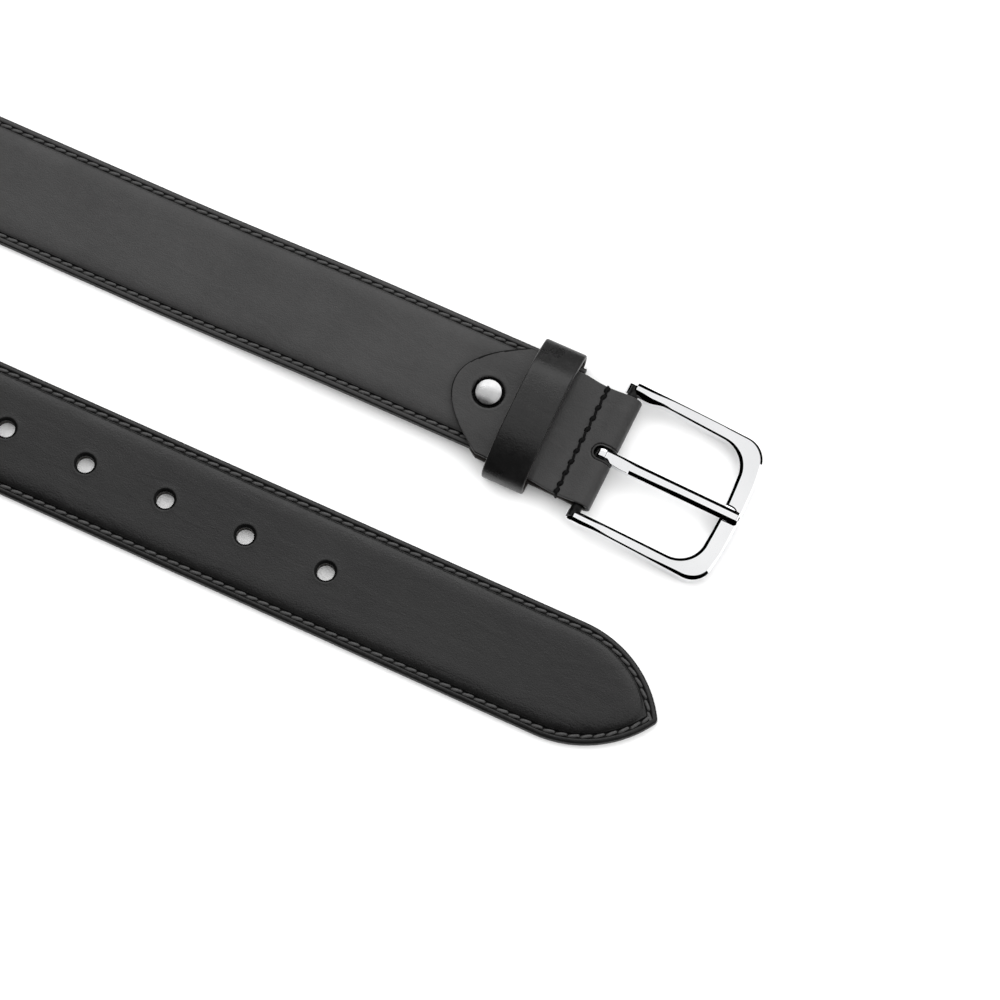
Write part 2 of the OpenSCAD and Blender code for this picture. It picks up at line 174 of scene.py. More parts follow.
# ---------------------------------------------------------------- materials
class Nodes:
    """A small helper for building one procedural material."""

    def __init__(self, name):
        self.material = bpy.data.materials.new(name)
        self.material.use_nodes = True
        self.tree = self.material.node_tree
        self.shader = self.tree.nodes["Principled BSDF"]
        self.coords = self.tree.nodes.new("ShaderNodeTexCoord").outputs["Object"]

    def put(self, node, socket, value):
        """Links a socket, or sets a number."""
        if isinstance(value, bpy.types.NodeSocket):
            self.tree.links.new(value, node.inputs[socket])
        else:
            node.inputs[socket].default_value = value

    def noise(self, scale, detail=3.0, roughness=0.5, distortion=0.0, coords=None):
        node = self.tree.nodes.new("ShaderNodeTexNoise")
        self.put(node, "Vector", coords or self.coords)
        self.put(node, "Scale", scale)
        self.put(node, "Detail", detail)
        self.put(node, "Roughness", roughness)
        self.put(node, "Distortion", distortion)
        return node.outputs["Fac"]

    def cells(self, scale, feature="F1", coords=None, smoothness=None):
        node = self.tree.nodes.new("ShaderNodeTexVoronoi")
        node.feature = feature
        self.put(node, "Vector", coords or self.coords)
        self.put(node, "Scale", scale)
        if smoothness is not None:
            self.put(node, "Smoothness", smoothness)
        return node.outputs["Distance"]

    def stretch(self, factors):
        """Coordinates scaled along X, Y and Z: a low factor draws a pattern out."""
        node = self.tree.nodes.new("ShaderNodeMapping")
        self.put(node, "Vector", self.coords)
        self.put(node, "Scale", factors)
        return node.outputs["Vector"]

    def remap(self, value, to_low, to_high, low=0.3, high=0.7):
        """Takes values between low and high to the range from to_low to to_high."""
        node = self.tree.nodes.new("ShaderNodeMapRange")
        self.put(node, "Value", value)
        self.put(node, "From Min", low)
        self.put(node, "From Max", high)
        self.put(node, "To Min", to_low)
        self.put(node, "To Max", to_high)
        return node.outputs["Result"]

    def math(self, operation, a, b=0.0):
        node = self.tree.nodes.new("ShaderNodeMath")
        node.operation = operation
        self.put(node, 0, a)
        self.put(node, 1, b)
        return node.outputs[0]

    def colour(self, factor, dark, light):
        """Mixes two colours, each given as red, green and blue or as a socket."""
        node = self.tree.nodes.new("ShaderNodeMix")
        node.data_type = "RGBA"
        self.put(node, "Factor", factor)
        # sockets 6 and 7 are the colours A and B
        for index, value in ((6, dark), (7, light)):
            self.put(node, index, value if isinstance(value, bpy.types.NodeSocket) else (*value, 1))
        return node.outputs[2]

    def shades(self, pattern, dark, light, low=0.3, high=0.7):
        """Colour that goes from dark to light with a pattern."""
        return self.colour(self.remap(pattern, 0.0, 1.0, low, high), dark, light)

    def total(self, first, first_share, second, second_share):
        """Weighted sum of two patterns."""
        return self.math("ADD", self.math("MULTIPLY", first, first_share),
                         self.math("MULTIPLY", second, second_share))

    def bump(self, height, distance, strength=1.0, normal=None):
        node = self.tree.nodes.new("ShaderNodeBump")
        self.put(node, "Height", height)
        self.put(node, "Distance", distance)
        self.put(node, "Strength", strength)
        if normal is not None:
            self.put(node, "Normal", normal)
        return node.outputs["Normal"]

    def set(self, **values):
        """Fills the shader's inputs by name and returns the material."""
        for socket, value in values.items():
            self.put(self.shader, socket.replace("_", " "), value)
        return self.material


def leather(name, dark, light, rough_low, rough_high, grain, specular=0.5, matte_and_painted_light=None):
    """Smooth dyed cowhide: fine pebbled grain, pores, faint wrinkles and uneven polish.
    The last argument, ((dark, light), roughness added), gives the buckle arm a duller finish and a lighter
    colour; the lighter colour is painted light, standing in for the brighter light on that arm."""
    n = Nodes(name)
    mottle = n.noise(38.0, 5.0, 0.62, 0.4)
    fine = n.noise(420.0, 3.0, 0.6)
    tone = n.total(mottle, 0.65, fine, 0.35)
    base = n.shades(tone, dark, light, 0.36, 0.64)
    polish = n.noise(90.0, 4.0, 0.55, 0.6)
    rough = n.remap(n.total(polish, 0.7, fine, 0.3), rough_low, rough_high, 0.35, 0.65)
    if matte_and_painted_light:
        # the finish changes between the two arms, where the belt is out in its loop: the buckle arm is
        # rougher, and its lighter colour is painted light for the brighter light that falls on it
        split = n.tree.nodes.new("ShaderNodeSeparateXYZ")
        n.put(split, 0, n.coords)
        dull_and_painted_light = n.remap(split.outputs["Y"], 0.0, 1.0, 0.028, 0.040)
        rough = n.math("ADD", rough, n.math("MULTIPLY", dull_and_painted_light, matte_and_painted_light[1]))
        base = n.colour(dull_and_painted_light, base, n.shades(tone, *matte_and_painted_light[0], 0.36, 0.64))
    pebble = n.cells(2300.0, "SMOOTH_F1", smoothness=0.35)
    grainy = n.noise(1500.0, 4.0, 0.65)
    pores = n.remap(n.cells(900.0), 0.0, 1.0, 0.0, 0.16)
    creases = n.noise(160.0, 3.0, 0.5, 1.6, n.stretch((0.35, 1.0, 1.0)))
    height = n.total(pebble, 0.5, grainy, 0.8)
    height = n.math("ADD", height, n.math("MULTIPLY", pores, 0.25))
    normal = n.bump(creases, 0.00012 * grain, 0.6)
    normal = n.bump(height, 0.00006 * grain, 0.8, normal)
    return n.set(Base_Color=base, Roughness=rough, Normal=normal, IOR=1.45, Specular_IOR_Level=specular)


def plain(name, pattern, dark, light, rough, relief, grain=None, **extra):
    """A material whose shade, polish and relief follow one pattern. pattern holds the numbers for
    Nodes.noise, rough the range of roughness, relief the bump's distance and strength, and grain the
    factors of a stretch."""
    n = Nodes(name)
    value = n.noise(*pattern, coords=n.stretch(grain) if grain else None)
    return n.set(Base_Color=n.shades(value, dark, light), Roughness=n.remap(value, *rough),
                 Normal=n.bump(value, *relief), **extra)


def make_materials():
    """Every material of the belt, by a short name."""
    made = {}
    # the buckle arm's lighter pair of colours below is painted light, for the brighter light on that arm; its
    # added roughness is a real duller finish
    made["front"] = leather("leather_front", (0.0045, 0.0044, 0.0045), (0.0080, 0.0078, 0.0078),
                            0.27, 0.36, 1.5,
                            matte_and_painted_light=(((0.0200, 0.0196, 0.0197), (0.0270, 0.0264, 0.0264)), 0.14))
    # painted shade: near-black leather for the shadow in the stitch grooves, also used on the holes' lips and
    # walls and on the marks round the chape's screw, slot and edges
    made["channel"] = leather("stitch_channel_painted_shade", (0.0015, 0.0015, 0.0015), (0.003, 0.003, 0.003),
                              0.5, 0.6, 0.6, 0.2)
    made["keeper"] = leather("leather_keeper", (0.0040, 0.0039, 0.0040), (0.0075, 0.0073, 0.0073),
                             0.25, 0.33, 1.0)

    n = Nodes("leather_lining")
    tone = n.noise(70.0, 5.0, 0.6, 0.5)
    nap = n.noise(2600.0, 5.0, 0.7)
    base = n.shades(tone, (0.020, 0.017, 0.015), (0.034, 0.028, 0.025), 0.35, 0.65)
    height = n.math("ADD", nap, n.math("MULTIPLY", n.cells(1400.0), 0.6))
    made["lining"] = n.set(Base_Color=base, Roughness=n.remap(tone, 0.58, 0.74),
                           Normal=n.bump(height, 0.00010, 0.9), Specular_IOR_Level=0.4, Sheen_Weight=0.12)

    n = Nodes("edge_paint")
    waves = n.noise(240.0, 4.0, 0.55, 0.4)
    grit = n.noise(1800.0, 3.0, 0.6)
    base = n.shades(waves, (0.003, 0.003, 0.003), (0.007, 0.0068, 0.0066), 0.35, 0.65)
    height = n.math("ADD", waves, n.math("MULTIPLY", grit, 0.25))
    made["edge"] = n.set(Base_Color=base, Roughness=n.remap(grit, 0.36, 0.5),
                         Normal=n.bump(height, 0.00018, 0.8), Specular_IOR_Level=0.22)

    made["cut"] = plain("cut_leather", (900.0, 5.0, 0.7, 0.3), (0.030, 0.028, 0.027), (0.085, 0.080, 0.077),
                        (0.45, 0.65), (0.00015, 0.8), (1.0, 1.0, 0.35))
    made["filler"] = plain("filler_board", (1100.0, 5.0, 0.7, 0.2), (0.018, 0.015, 0.012),
                           (0.045, 0.036, 0.028), (0.7, 0.9), (0.00015, 0.8))
    made["thread"] = plain("waxed_thread", (2600.0, 3.0, 0.6, 0.8), (0.022, 0.022, 0.022),
                           (0.050, 0.049, 0.049), (0.30, 0.48), (0.00008, 0.9))
    made["thick_thread"] = plain("thick_thread", (2200.0, 3.0, 0.6, 0.8), (0.001, 0.001, 0.001),
                                 (0.004, 0.004, 0.004), (0.5, 0.7), (0.00010, 0.9), Specular_IOR_Level=0.12)
    # the bar's near-black is painted shade and reflection: it stands for the chrome bar mirroring the black
    # leather round it and lying in its shade
    made["bar"] = plain("bar_steel_painted_dark", (900.0, 3.0, 0.6), (0.012, 0.012, 0.012), (0.035, 0.035, 0.035),
                        (0.35, 0.5), (0.00001, 0.5), Metallic=1.0)
    made["steel"] = plain("steel_wire", (1200.0, 3.0, 0.6), (0.42, 0.42, 0.43), (0.58, 0.58, 0.59),
                          (0.24, 0.38), (0.00001, 0.6), (1.0, 0.1, 1.0), Metallic=1.0)

    n = Nodes("polished_chrome")
    haze = n.noise(60.0, 3.0, 0.5)
    hairlines = n.noise(700.0, 2.0, 0.5, 0.0, n.stretch((0.08, 1.0, 1.0)))
    base = n.shades(haze, (0.86, 0.865, 0.875), (0.93, 0.932, 0.94))
    made["chrome"] = n.set(Base_Color=base, Roughness=n.remap(haze, 0.035, 0.07),
                           Normal=n.bump(hairlines, 0.000002, 0.5), Metallic=1.0)

    n = Nodes("satin_nickel")
    brush = n.noise(1500.0, 3.0, 0.6, 0.0, n.stretch((0.15, 1.0, 1.0)))
    blotch = n.noise(260.0, 3.0, 0.5)
    base = n.shades(blotch, (0.50, 0.50, 0.505), (0.62, 0.62, 0.62))
    made["satin"] = n.set(Base_Color=base, Roughness=n.remap(brush, 0.26, 0.36),
                          Normal=n.bump(brush, 0.000012, 0.6), Metallic=1.0)
    return made


M = make_materials()


# ---------------------------------------------------------------- the strap's path
# steps along each half of the loop
STEPS = 396


def heading(t):
    """Direction of a half loop in plan at t from 0 to 1, in radians: it flares out, then turns round
    until it runs straight across at the loop's far end."""
    return (LOOP_FLARE * t ** 2 - (5 * LOOP_FLARE / 3 + math.pi) * t ** 3
            + (2 * LOOP_FLARE / 3 + math.pi / 2) * t ** 4)


turn_mid = heading((np.arange(STEPS) + 0.5) / STEPS)
# this length makes the two halves meet in the middle of the gap
HALF_LOOP = -(ARM_GAP / 2) / float(np.mean(np.sin(turn_mid)))
STEP = HALF_LOOP / STEPS
LOOP_X = (BAR_X + 2 * HALF_LOOP - BELT_SIZE) / 2
plan_x = LOOP_X - np.concatenate([[0], np.cumsum(np.cos(turn_mid))]) * STEP
plan_y = ARM_GAP / 2 + np.concatenate([[0], np.cumsum(np.sin(turn_mid))]) * STEP


def loop_station(s):
    """Place, outward and face directions at length s along the loop, from the buckle arm's side."""
    side = 1 if s <= HALF_LOOP else -1
    t = (s if side > 0 else 2 * HALF_LOOP - s) / HALF_LOOP
    k = t * STEPS
    turn = heading(t)
    twist = math.radians(90) * smooth(t * HALF_LOOP / TWIST_RUN)
    x = float(np.interp(k, np.arange(STEPS + 1), plan_x))
    y = float(np.interp(k, np.arange(STEPS + 1), plan_y))
    out = np.array([math.sin(turn), side * math.cos(turn), 0.0])
    up = np.array([0.0, 0.0, 1.0])
    place = np.array([x, ARM_GAP / 2 + side * y, HALF_W * math.sin(twist)])
    return place, math.cos(twist) * out - math.sin(twist) * up, math.sin(twist) * out + math.cos(twist) * up


def buckle_arm_station(x):
    """Place, outward and face directions on the buckle's arm, which comes down to the floor over the ramp."""
    z = LIFT * (1 - smooth((RAMP - x) / (2 * RAMP)))
    return np.array([x, ARM_GAP, z]), np.array([0.0, 1.0, 0.0]), np.array([0.0, 0.0, 1.0])


def tip_arm_station(x):
    return np.array([x, 0.0, 0.0]), np.array([0.0, -1.0, 0.0]), np.array([0.0, 0.0, 1.0])


def spaced(a, b, pitch):
    """Evenly spaced values from a to b, about pitch apart."""
    n = max(1, int(round(abs(b - a) / pitch)))
    return [a + (b - a) * i / n for i in range(n + 1)]


# half the side of the square patch round each hole, in steps of 1 mm
PATCH = 8
arm_x = [LOOP_X]
for hole in HOLES:
    arm_x += spaced(arm_x[-1], hole - PATCH, 3.0)[1:]
    arm_x += [hole - PATCH + i for i in range(1, 2 * PATCH + 1)]
arm_x += spaced(arm_x[-1], TIP_START, 3.0)[1:]

stations = [buckle_arm_station(x) for x in spaced(STRAP_END, RAMP, 4.0) + spaced(RAMP, -RAMP, 2.0)[1:]
            + spaced(-RAMP, LOOP_X, 4.0)[1:]]
stations += [loop_station(s) for s in spaced(0.0, 2 * HALF_LOOP, 2.0)[1:]]
first_arm_ring = len(stations) - 1
stations += [tip_arm_station(x) for x in arm_x[1:]]

# steps along the tip's arc, and round its nose
TIP_N, NOSE_N = 34, 6


def tip_point(d, i):
    """Point i of the line that runs d inside the tip's outline: distance along X and half-width."""
    deep = max(d, NOSE_R)
    apex = math.acos(min(1.0, (TIP_R - HALF_W) / (TIP_R - deep)))
    if i <= TIP_N:
        a = apex * i / TIP_N
        return TIP_START + (TIP_R - d) * math.sin(a), HALF_W - TIP_R + (TIP_R - d) * math.cos(a)
    a = apex + (math.pi / 2 - apex) * (i - TIP_N) / NOSE_N
    reach = max(0.0, NOSE_R - d)
    return TIP_START + (TIP_R - deep) * math.sin(apex) + reach * math.sin(a), reach * math.cos(a)


def edge_distance(x, y):
    """Softened distance inside the tip's outline, so that the raised centre ends in a rounded point."""
    if x <= TIP_START:
        return HALF_W - abs(y)
    gaps = [TIP_R - math.hypot(x - TIP_START, y - s * (HALF_W - TIP_R)) for s in (1, -1)]
    k = 1.6
    low = min(gaps)
    return low - k * math.log(sum(math.exp(-(g - low) / k) for g in gaps))


# ---------------------------------------------------------------- strap layers
CROWN_IN, CROWN_OUT = 9.5, 14.42


def crown(y):
    """Height of the front leather's raised centre at y from the middle."""
    t = (abs(y) - CROWN_IN) / (CROWN_OUT - CROWN_IN)
    return 2.4 + 0.9 * math.sqrt(1 - min(1.0, max(0.0, t)) ** 2)


# Half sections of the layers as (y from the middle, z), from the middle to the edge
FRONT_TOP = ([(float(y), crown(y)) for y in range(10)]
             + [(y, crown(y)) for y in (9.5, 10.4, 11.2, 11.9, 12.5, 13.0, 13.4, 13.75, 14.0, 14.2, 14.33,
                                        14.42)]
             + [(14.55, 2.37), (14.68, 2.22), (14.82, 2.06), (15.0, 2.0), (15.35, 1.98), (15.7, 2.0),
                (15.88, 2.06), (16.02, 2.2), (16.15, 2.37), (16.3, 2.43), (16.6, 2.405), (16.9, 2.35),
                (17.08, 2.29), (17.25, 2.19), (17.4, 2.04), (17.48, 1.86), (17.5, 1.65), (17.5, 1.35),
                (17.46, 1.12), (17.36, 1.02)])
FRONT_EDGE_FROM = 17.05
FRONT_BOTTOM = ([(float(y), 1.9) for y in range(10)] + [(11.1, 1.9), (13.6, 1.0), (15.5, 1.0), (17.2, 1.0)])
FILLER_TOP = [(float(y), 1.9) for y in range(10)] + [(11.1, 1.9), (12.3, 1.47), (13.6, 1.0)]
FILLER_BOTTOM = [(float(y), 1.0) for y in range(10)] + [(11.1, 1.0), (12.3, 1.0)]
LINING_TOP = [(float(y), 1.0) for y in range(10)] + [(11.5, 1.0), (14.0, 1.0), (16.0, 1.0), (17.25, 1.0),
                                                      (17.38, 0.97), (17.46, 0.88), (17.5, 0.7), (17.5, 0.45)]
LINING_BOTTOM = ([(float(y), 0.0) for y in range(10)]
                 + [(11.5, 0.0), (13.6, 0.0), (14.5, 0.0), (14.66, 0.04), (14.8, 0.2), (14.95, 0.36),
                    (15.1, 0.4), (15.35, 0.41), (15.6, 0.4), (15.75, 0.36), (15.9, 0.2), (16.04, 0.04),
                    (16.2, 0.0), (16.7, 0.0), (17.1, 0.03), (17.35, 0.12), (17.47, 0.28)])


def both_sides(half):
    """A half section and its mirror image as one line."""
    return [(-y, z) for y, z in half[:0:-1]] + list(half)


def tip_ring(section, top_count, i, crowned, setback):
    """Ring i of the tip: the section drawn in towards the point, so that its edges follow the outline."""
    ring = []
    for k, (y, z) in enumerate(section):
        x, w = tip_point(HALF_W - abs(y) + setback * min(1.0, abs(y) / 3.0), i)
        if setback and x > TIP_START:
            x = TIP_START + (x - TIP_START) * (1 - setback / 40.0)
        if crowned and k < top_count and abs(y) <= CROWN_OUT:
            z = crown(HALF_W - edge_distance(x, w))
        ring.append(np.array([x, -math.copysign(w, y) if y else 0.0, z]))
    return ring


def hole_rings(hole, border, outline, surface, sign, verts):
    """Rings of new vertices from a patch's square border to the hole and down into it, with their depths."""
    rings = []
    steps = [(t, outline[0][0], 0.0) for t in (0.4, 0.72, 1.0)] + [(1.0, r, d) for r, d in outline[1:]]
    corners = [(verts[v][0] - hole, verts[v][1]) for v in border]
    for t, r, depth in steps:
        # t runs from the border to the first ring, and r is the ring's radius
        ring = []
        for x, y in corners:
            a = math.atan2(y, x)
            far = math.hypot(x, y)
            reach = far + (r - far) * t
            ring.append(len(verts))
            verts.append(np.array([hole + reach * math.cos(a), reach * math.sin(a), surface - sign * depth]))
        rings.append((ring, depth))
    return rings


def band(first, second):
    """Faces between two rings of vertex numbers."""
    count = len(first)
    return [(first[q], first[(q + 1) % count], second[(q + 1) % count], second[q]) for q in range(count)]


def strap_layer(name, top, bottom, hole_top, hole_bottom, materials, crowned=False, edge_from=99.0,
                setback=0.0):
    """One layer of the strap: a closed strip round the whole path, with the shaped tip and the punched holes.
    hole_top and hole_bottom are (radius, depth) outlines from the surface into the hole.
    Faces beyond edge_from get the second material, and a layer with three gets the third in its channel: a
    painted shade for the shadow in the stitch groove and in the holes."""
    upper, lower = both_sides(top), both_sides(bottom)[::-1]
    section = upper + lower
    m = len(section)
    has_edge, has_channel_shade = edge_from < 90, len(materials) > 2
    verts = [place + y * out + z * face for place, out, face in stations for y, z in section]
    for i in range(1, TIP_N + NOSE_N + 1):
        verts += tip_ring(section, len(upper), i, crowned, setback)

    # the strip's faces, but for a square patch round each hole above and below
    size = 2 * PATCH
    starts = [first_arm_ring + min(range(len(arm_x)), key=lambda q: abs(arm_x[q] - (hole - PATCH)))
              for hole in HOLES]
    up0 = next(k for k, (y, z) in enumerate(upper) if y == -PATCH)
    low0 = len(upper) + next(k for k, (y, z) in enumerate(lower) if y == PATCH)
    skipped = {(start + i, k0 + j) for start in starts for k0 in (up0, low0)
               for i in range(size) for j in range(size)}
    faces, kinds = [], []
    for r in range(len(stations) + TIP_N + NOSE_N - 1):
        for k in range(m):
            if (r, k) in skipped:
                continue
            q = (k + 1) % m
            faces.append((r * m + k, r * m + q, (r + 1) * m + q, (r + 1) * m + k))
            lateral, far = sorted((abs(section[k][0]), abs(section[q][0])))
            # faces in the stitch groove get the painted shade
            in_shaded_channel = k < len(upper) - 1 and lateral >= 14.5 and far <= 16.05 and has_channel_shade
            kinds.append(1 if lateral >= edge_from else 2 if in_shaded_channel else 0)
    faces.append(tuple(range(m)))
    kinds.append(1 if has_edge else 0)

    # on the front leather the holes' lips and walls get the painted shade for the shadow in each hole; on the
    # lining they get the real edge paint
    inside = 2 if has_channel_shade else 1
    dark_from = 0.02 if has_channel_shade else 0.3
    for hole, start in zip(HOLES, starts):
        ends = []
        for k0, sign, outline, surface in ((up0, 1, hole_top, top[0][1]),
                                           (low0, -1, hole_bottom, bottom[0][1])):
            def grid(i, j):
                """Vertex at i steps along X and j steps across the strap from the patch's corner."""
                return (start + i) * m + (k0 + j if sign > 0 else k0 + size - j)
            previous = ([grid(i, 0) for i in range(size)] + [grid(size, j) for j in range(size)]
                        + [grid(size - i, size) for i in range(size)]
                        + [grid(0, size - j) for j in range(size)])
            for ring, depth in hole_rings(hole, previous, outline, surface, sign, verts):
                faces += band(previous, ring)
                kinds += [inside if has_edge and depth > dark_from else 0] * len(ring)
                previous = ring
            ends.append(previous)
        faces += band(*ends)
        kinds += [1 if has_edge else 0] * len(ends[0])
    return mesh_object(name, verts, faces, materials, 38.0, face_materials=kinds)


strap_front = strap_layer(
    "front_leather", FRONT_TOP, FRONT_BOTTOM,
    [(4.3, 0.0), (4.0, -0.02), (3.7, -0.05), (3.45, -0.05), (3.25, -0.01), (3.08, 0.07), (2.9, 0.18),
     (2.72, 0.32), (2.6, 0.48), (2.53, 0.64), (2.5, 0.8)],
    [(2.9, 0.0), (2.5, 0.0)], [M["front"], M["edge"], M["channel"]], crowned=True, edge_from=FRONT_EDGE_FROM)
strap_filler = strap_layer("filler_board", FILLER_TOP, FILLER_BOTTOM, [(3.0, 0.0), (2.56, 0.0)],
                           [(3.0, 0.0), (2.56, 0.0)], [M["filler"]], setback=5.0)
strap_lining = strap_layer("lining_leather", LINING_TOP, LINING_BOTTOM, [(3.0, 0.0), (2.5, 0.0)],
                           [(3.3, 0.0), (2.75, 0.02), (2.58, 0.09), (2.5, 0.22)], [M["lining"], M["edge"]],
                           edge_from=17.3)


# ---------------------------------------------------------------- sewing
def stitch(place, along, across, up, length, width, height, sway, rise):
    """Rings of one thread stitch: it sways across the row, rises in the middle and dives in at both ends."""
    around, count = 8, 11
    lean = sway / (length / 2)
    rings = []
    for i in range(count):
        t = -1 + 2 * i / (count - 1)
        middle = place + along * (t * length / 2) + across * (sway * t)
        middle = middle + up * (rise * (1 - 1.55 * t ** 4))
        body = math.sqrt(max(0.03, 1 - 0.9 * t ** 8))
        side = across - along * lean
        side = side / np.linalg.norm(side)
        ring = []
        for k in range(around):
            a = 2 * math.pi * k / around
            ply = 1 + 0.07 * math.cos(2 * a + 5.0 * t)
            ring.append(middle + side * (width / 2 * body * ply * math.cos(a))
                        + up * (height / 2 * body * ply * math.sin(a)))
        rings.append(ring)
    return rings


def sewing(name, frames, length, width, height, sway, rise):
    """A run of stitches, one at each frame."""
    verts, faces = joined(stitch(*spot, length, width, height, sway, rise) for spot in frames)
    return mesh_object(name, verts, faces, [M["thread"]], 60.0, weld=0)


def edge_line(side, z):
    """Points, with across and up directions, along one edge's channel from the buckle end to the tip."""
    line = [(place + side * STITCH_Y * out + z * face, side * out, face) for place, out, face in stations]
    up = np.array([0.0, 0.0, 1.0])
    for i in range(1, TIP_N + 1):
        x, w = tip_point(HALF_W - STITCH_Y, i)
        a = math.acos((TIP_R - HALF_W) / (TIP_R - (HALF_W - STITCH_Y))) * i / TIP_N
        line.append((np.array([x, -side * w, z]), np.array([math.sin(a), -side * math.cos(a), 0.0]), up))
    return line


def along_line(line, pitch, start):
    """Evenly spaced frames along a line of (point, across, up)."""
    points = np.array([p for p, _, _ in line])
    run = np.concatenate([[0], np.cumsum(np.linalg.norm(np.diff(points, axis=0), axis=1))])
    count = int((run[-1] - start) / pitch)
    frames = []
    for i in range(count + 1):
        s = start + i * pitch
        k = int(np.clip(np.searchsorted(run, s) - 1, 0, len(line) - 2))
        t = (s - run[k]) / (run[k + 1] - run[k])
        place = points[k] * (1 - t) + points[k + 1] * t
        along = points[k + 1] - points[k]
        along = along / np.linalg.norm(along)
        up = line[k][2] * (1 - t) + line[k + 1][2] * t
        up = up - along * up.dot(along)
        up = up / np.linalg.norm(up)
        across = line[k][1] * (1 - t) + line[k + 1][1] * t
        across = across - along * across.dot(along) - up * across.dot(up)
        across = across / np.linalg.norm(across)
        frames.append((place, along, across, up))
    return frames


# the edge stitches, on both edges: the front row rises from the front leather, the back row from the lining
PITCH = 3.5
edge_frames = {}
for layer, z in (("front", 2.0), ("back", 0.4)):
    edge_frames[layer] = []
    for side in (1, -1):
        found = along_line(edge_line(side, z), PITCH, 1.6)
        # every stitch leans with the same hand, whichever edge it is on
        edge_frames[layer] += [(p, a, np.cross(u, a), u if layer == "front" else -u) for p, a, _, u in found]
thread_front = sewing("edge_stitching_front", edge_frames["front"], 3.42, 0.92, 0.5, 0.27, 0.17)
thread_back = sewing("edge_stitching_back", edge_frames["back"], 3.4, 0.84, 0.34, 0.25, 0.16)


# ---------------------------------------------------------------- buckle end, in a frame at the bar
def at_leaf(x, y, z=0.0, turn=0.0):
    """A point of the chape's own frame, with its origin at the bar, in the row frame."""
    px = RIVET_BACK + x * math.cos(turn) - y * math.sin(turn)
    py = x * math.sin(turn) + y * math.cos(turn)
    return np.array([RIVET[0] + px * math.cos(SKEW) + py * math.sin(SKEW),
                     RIVET[1] - px * math.sin(SKEW) + py * math.cos(SKEW), MID_Z + z])


def at_bar(x, y, z=0.0):
    """The same in the bar's frame, which is turned back towards square."""
    return at_leaf(x, y, z, BAR_TURN)


def at_chape(x, y, z=0.0):
    """The leaves follow the chape's direction, and the fold follows the bar's."""
    return at_leaf(x, y, z, BAR_TURN * smooth((x + 16.0) / 10.0))


CHAPE_T = 1.2
CHAPE_LEN = 47.2
END_LEN = 15.3
LEAF_Z = 2.25
FOLD_R, FOLD_SLACK = 2.26, 0.7
SLOT_Y, SLOT_HALF, SLOT_END = -1.2, 2.0, -2.7
SLOT_LINE = 0.52
ROW_X = -7.0


def leaf_end(y):
    """Where the chape's pointed end lies at y from the middle."""
    return -CHAPE_LEN + END_LEN * (y / HALF_W) ** 2


def fold_line():
    """Middle line of the folded leather from the front leaf to the rear one, as (x, z) points."""
    knots = [(-20.0, LEAF_Z), (-17.5, LEAF_Z), (-15.6, 2.21), (-13.4, 1.9), (-11.4, 1.45), (-9.4, 1.17),
             (-7.4, 1.09), (-5.4, 1.17), (-3.6, 1.5), (-1.9, 1.92), (-0.4, 2.17), (0.3, 2.22)]
    upper = []
    for i in range(1, len(knots) - 2):
        near_knots = [np.array(knots[i + j]) for j in (-1, 0, 1, 2)]
        parts = 10 if knots[i][0] > -7 else 5
        upper += [spline(*near_knots, j / parts) for j in range(parts)]
    start = math.radians(100)
    arc = [np.array([FOLD_SLACK + FOLD_R * math.cos(a), FOLD_R * math.sin(a)])
           for a in np.linspace(start, -start, 40)]
    return upper + arc + [np.array([p[0], -p[1]]) for p in upper[::-1]]


def outline_gap(x, y):
    """Distance inside the chape's outline."""
    ys = np.linspace(-HALF_W, HALF_W, 141)
    end = float(np.min(np.hypot(x - leaf_end(ys), y - ys)))
    return min(HALF_W - abs(y), end)


def slot_gap(x, y):
    """Distance outside the slot for the prong."""
    dx = min(0.0, x - (SLOT_END + SLOT_HALF))
    return math.hypot(dx, y - SLOT_Y) - SLOT_HALF


def rounded_half(gap):
    """Half thickness near a cut edge."""
    e = min(1.0, max(0.0, gap) / 0.34)
    return CHAPE_T / 2 * (0.56 + 0.44 * math.sqrt(1 - (1 - e) ** 2))


def outer_half(half, x, y, on_front):
    """Half thickness towards the outer surface, with what is pressed into it."""
    # the screw's seat, the groove round it, and the low rim outside the groove
    if on_front:
        radial = math.hypot(x + RIVET_BACK, y)
        half -= 0.3 * (1 - smooth((radial - 3.0) / 0.7))
        half -= 0.85 * math.exp(-((radial - 4.2) / 0.42) ** 4)
        half += 0.05 * math.exp(-((radial - 5.4) / 0.5) ** 2)
    # the seam pulls a shallow valley across the fold
    if -9.2 < x < -4.8:
        half -= 0.16 * math.exp(-((x - ROW_X) / 0.75) ** 2)
    # pressed line round the prong's slot
    if x > -5.6:
        half -= 0.2 * math.exp(-((slot_gap(x, y) - SLOT_LINE) / 0.2) ** 2)
    return half


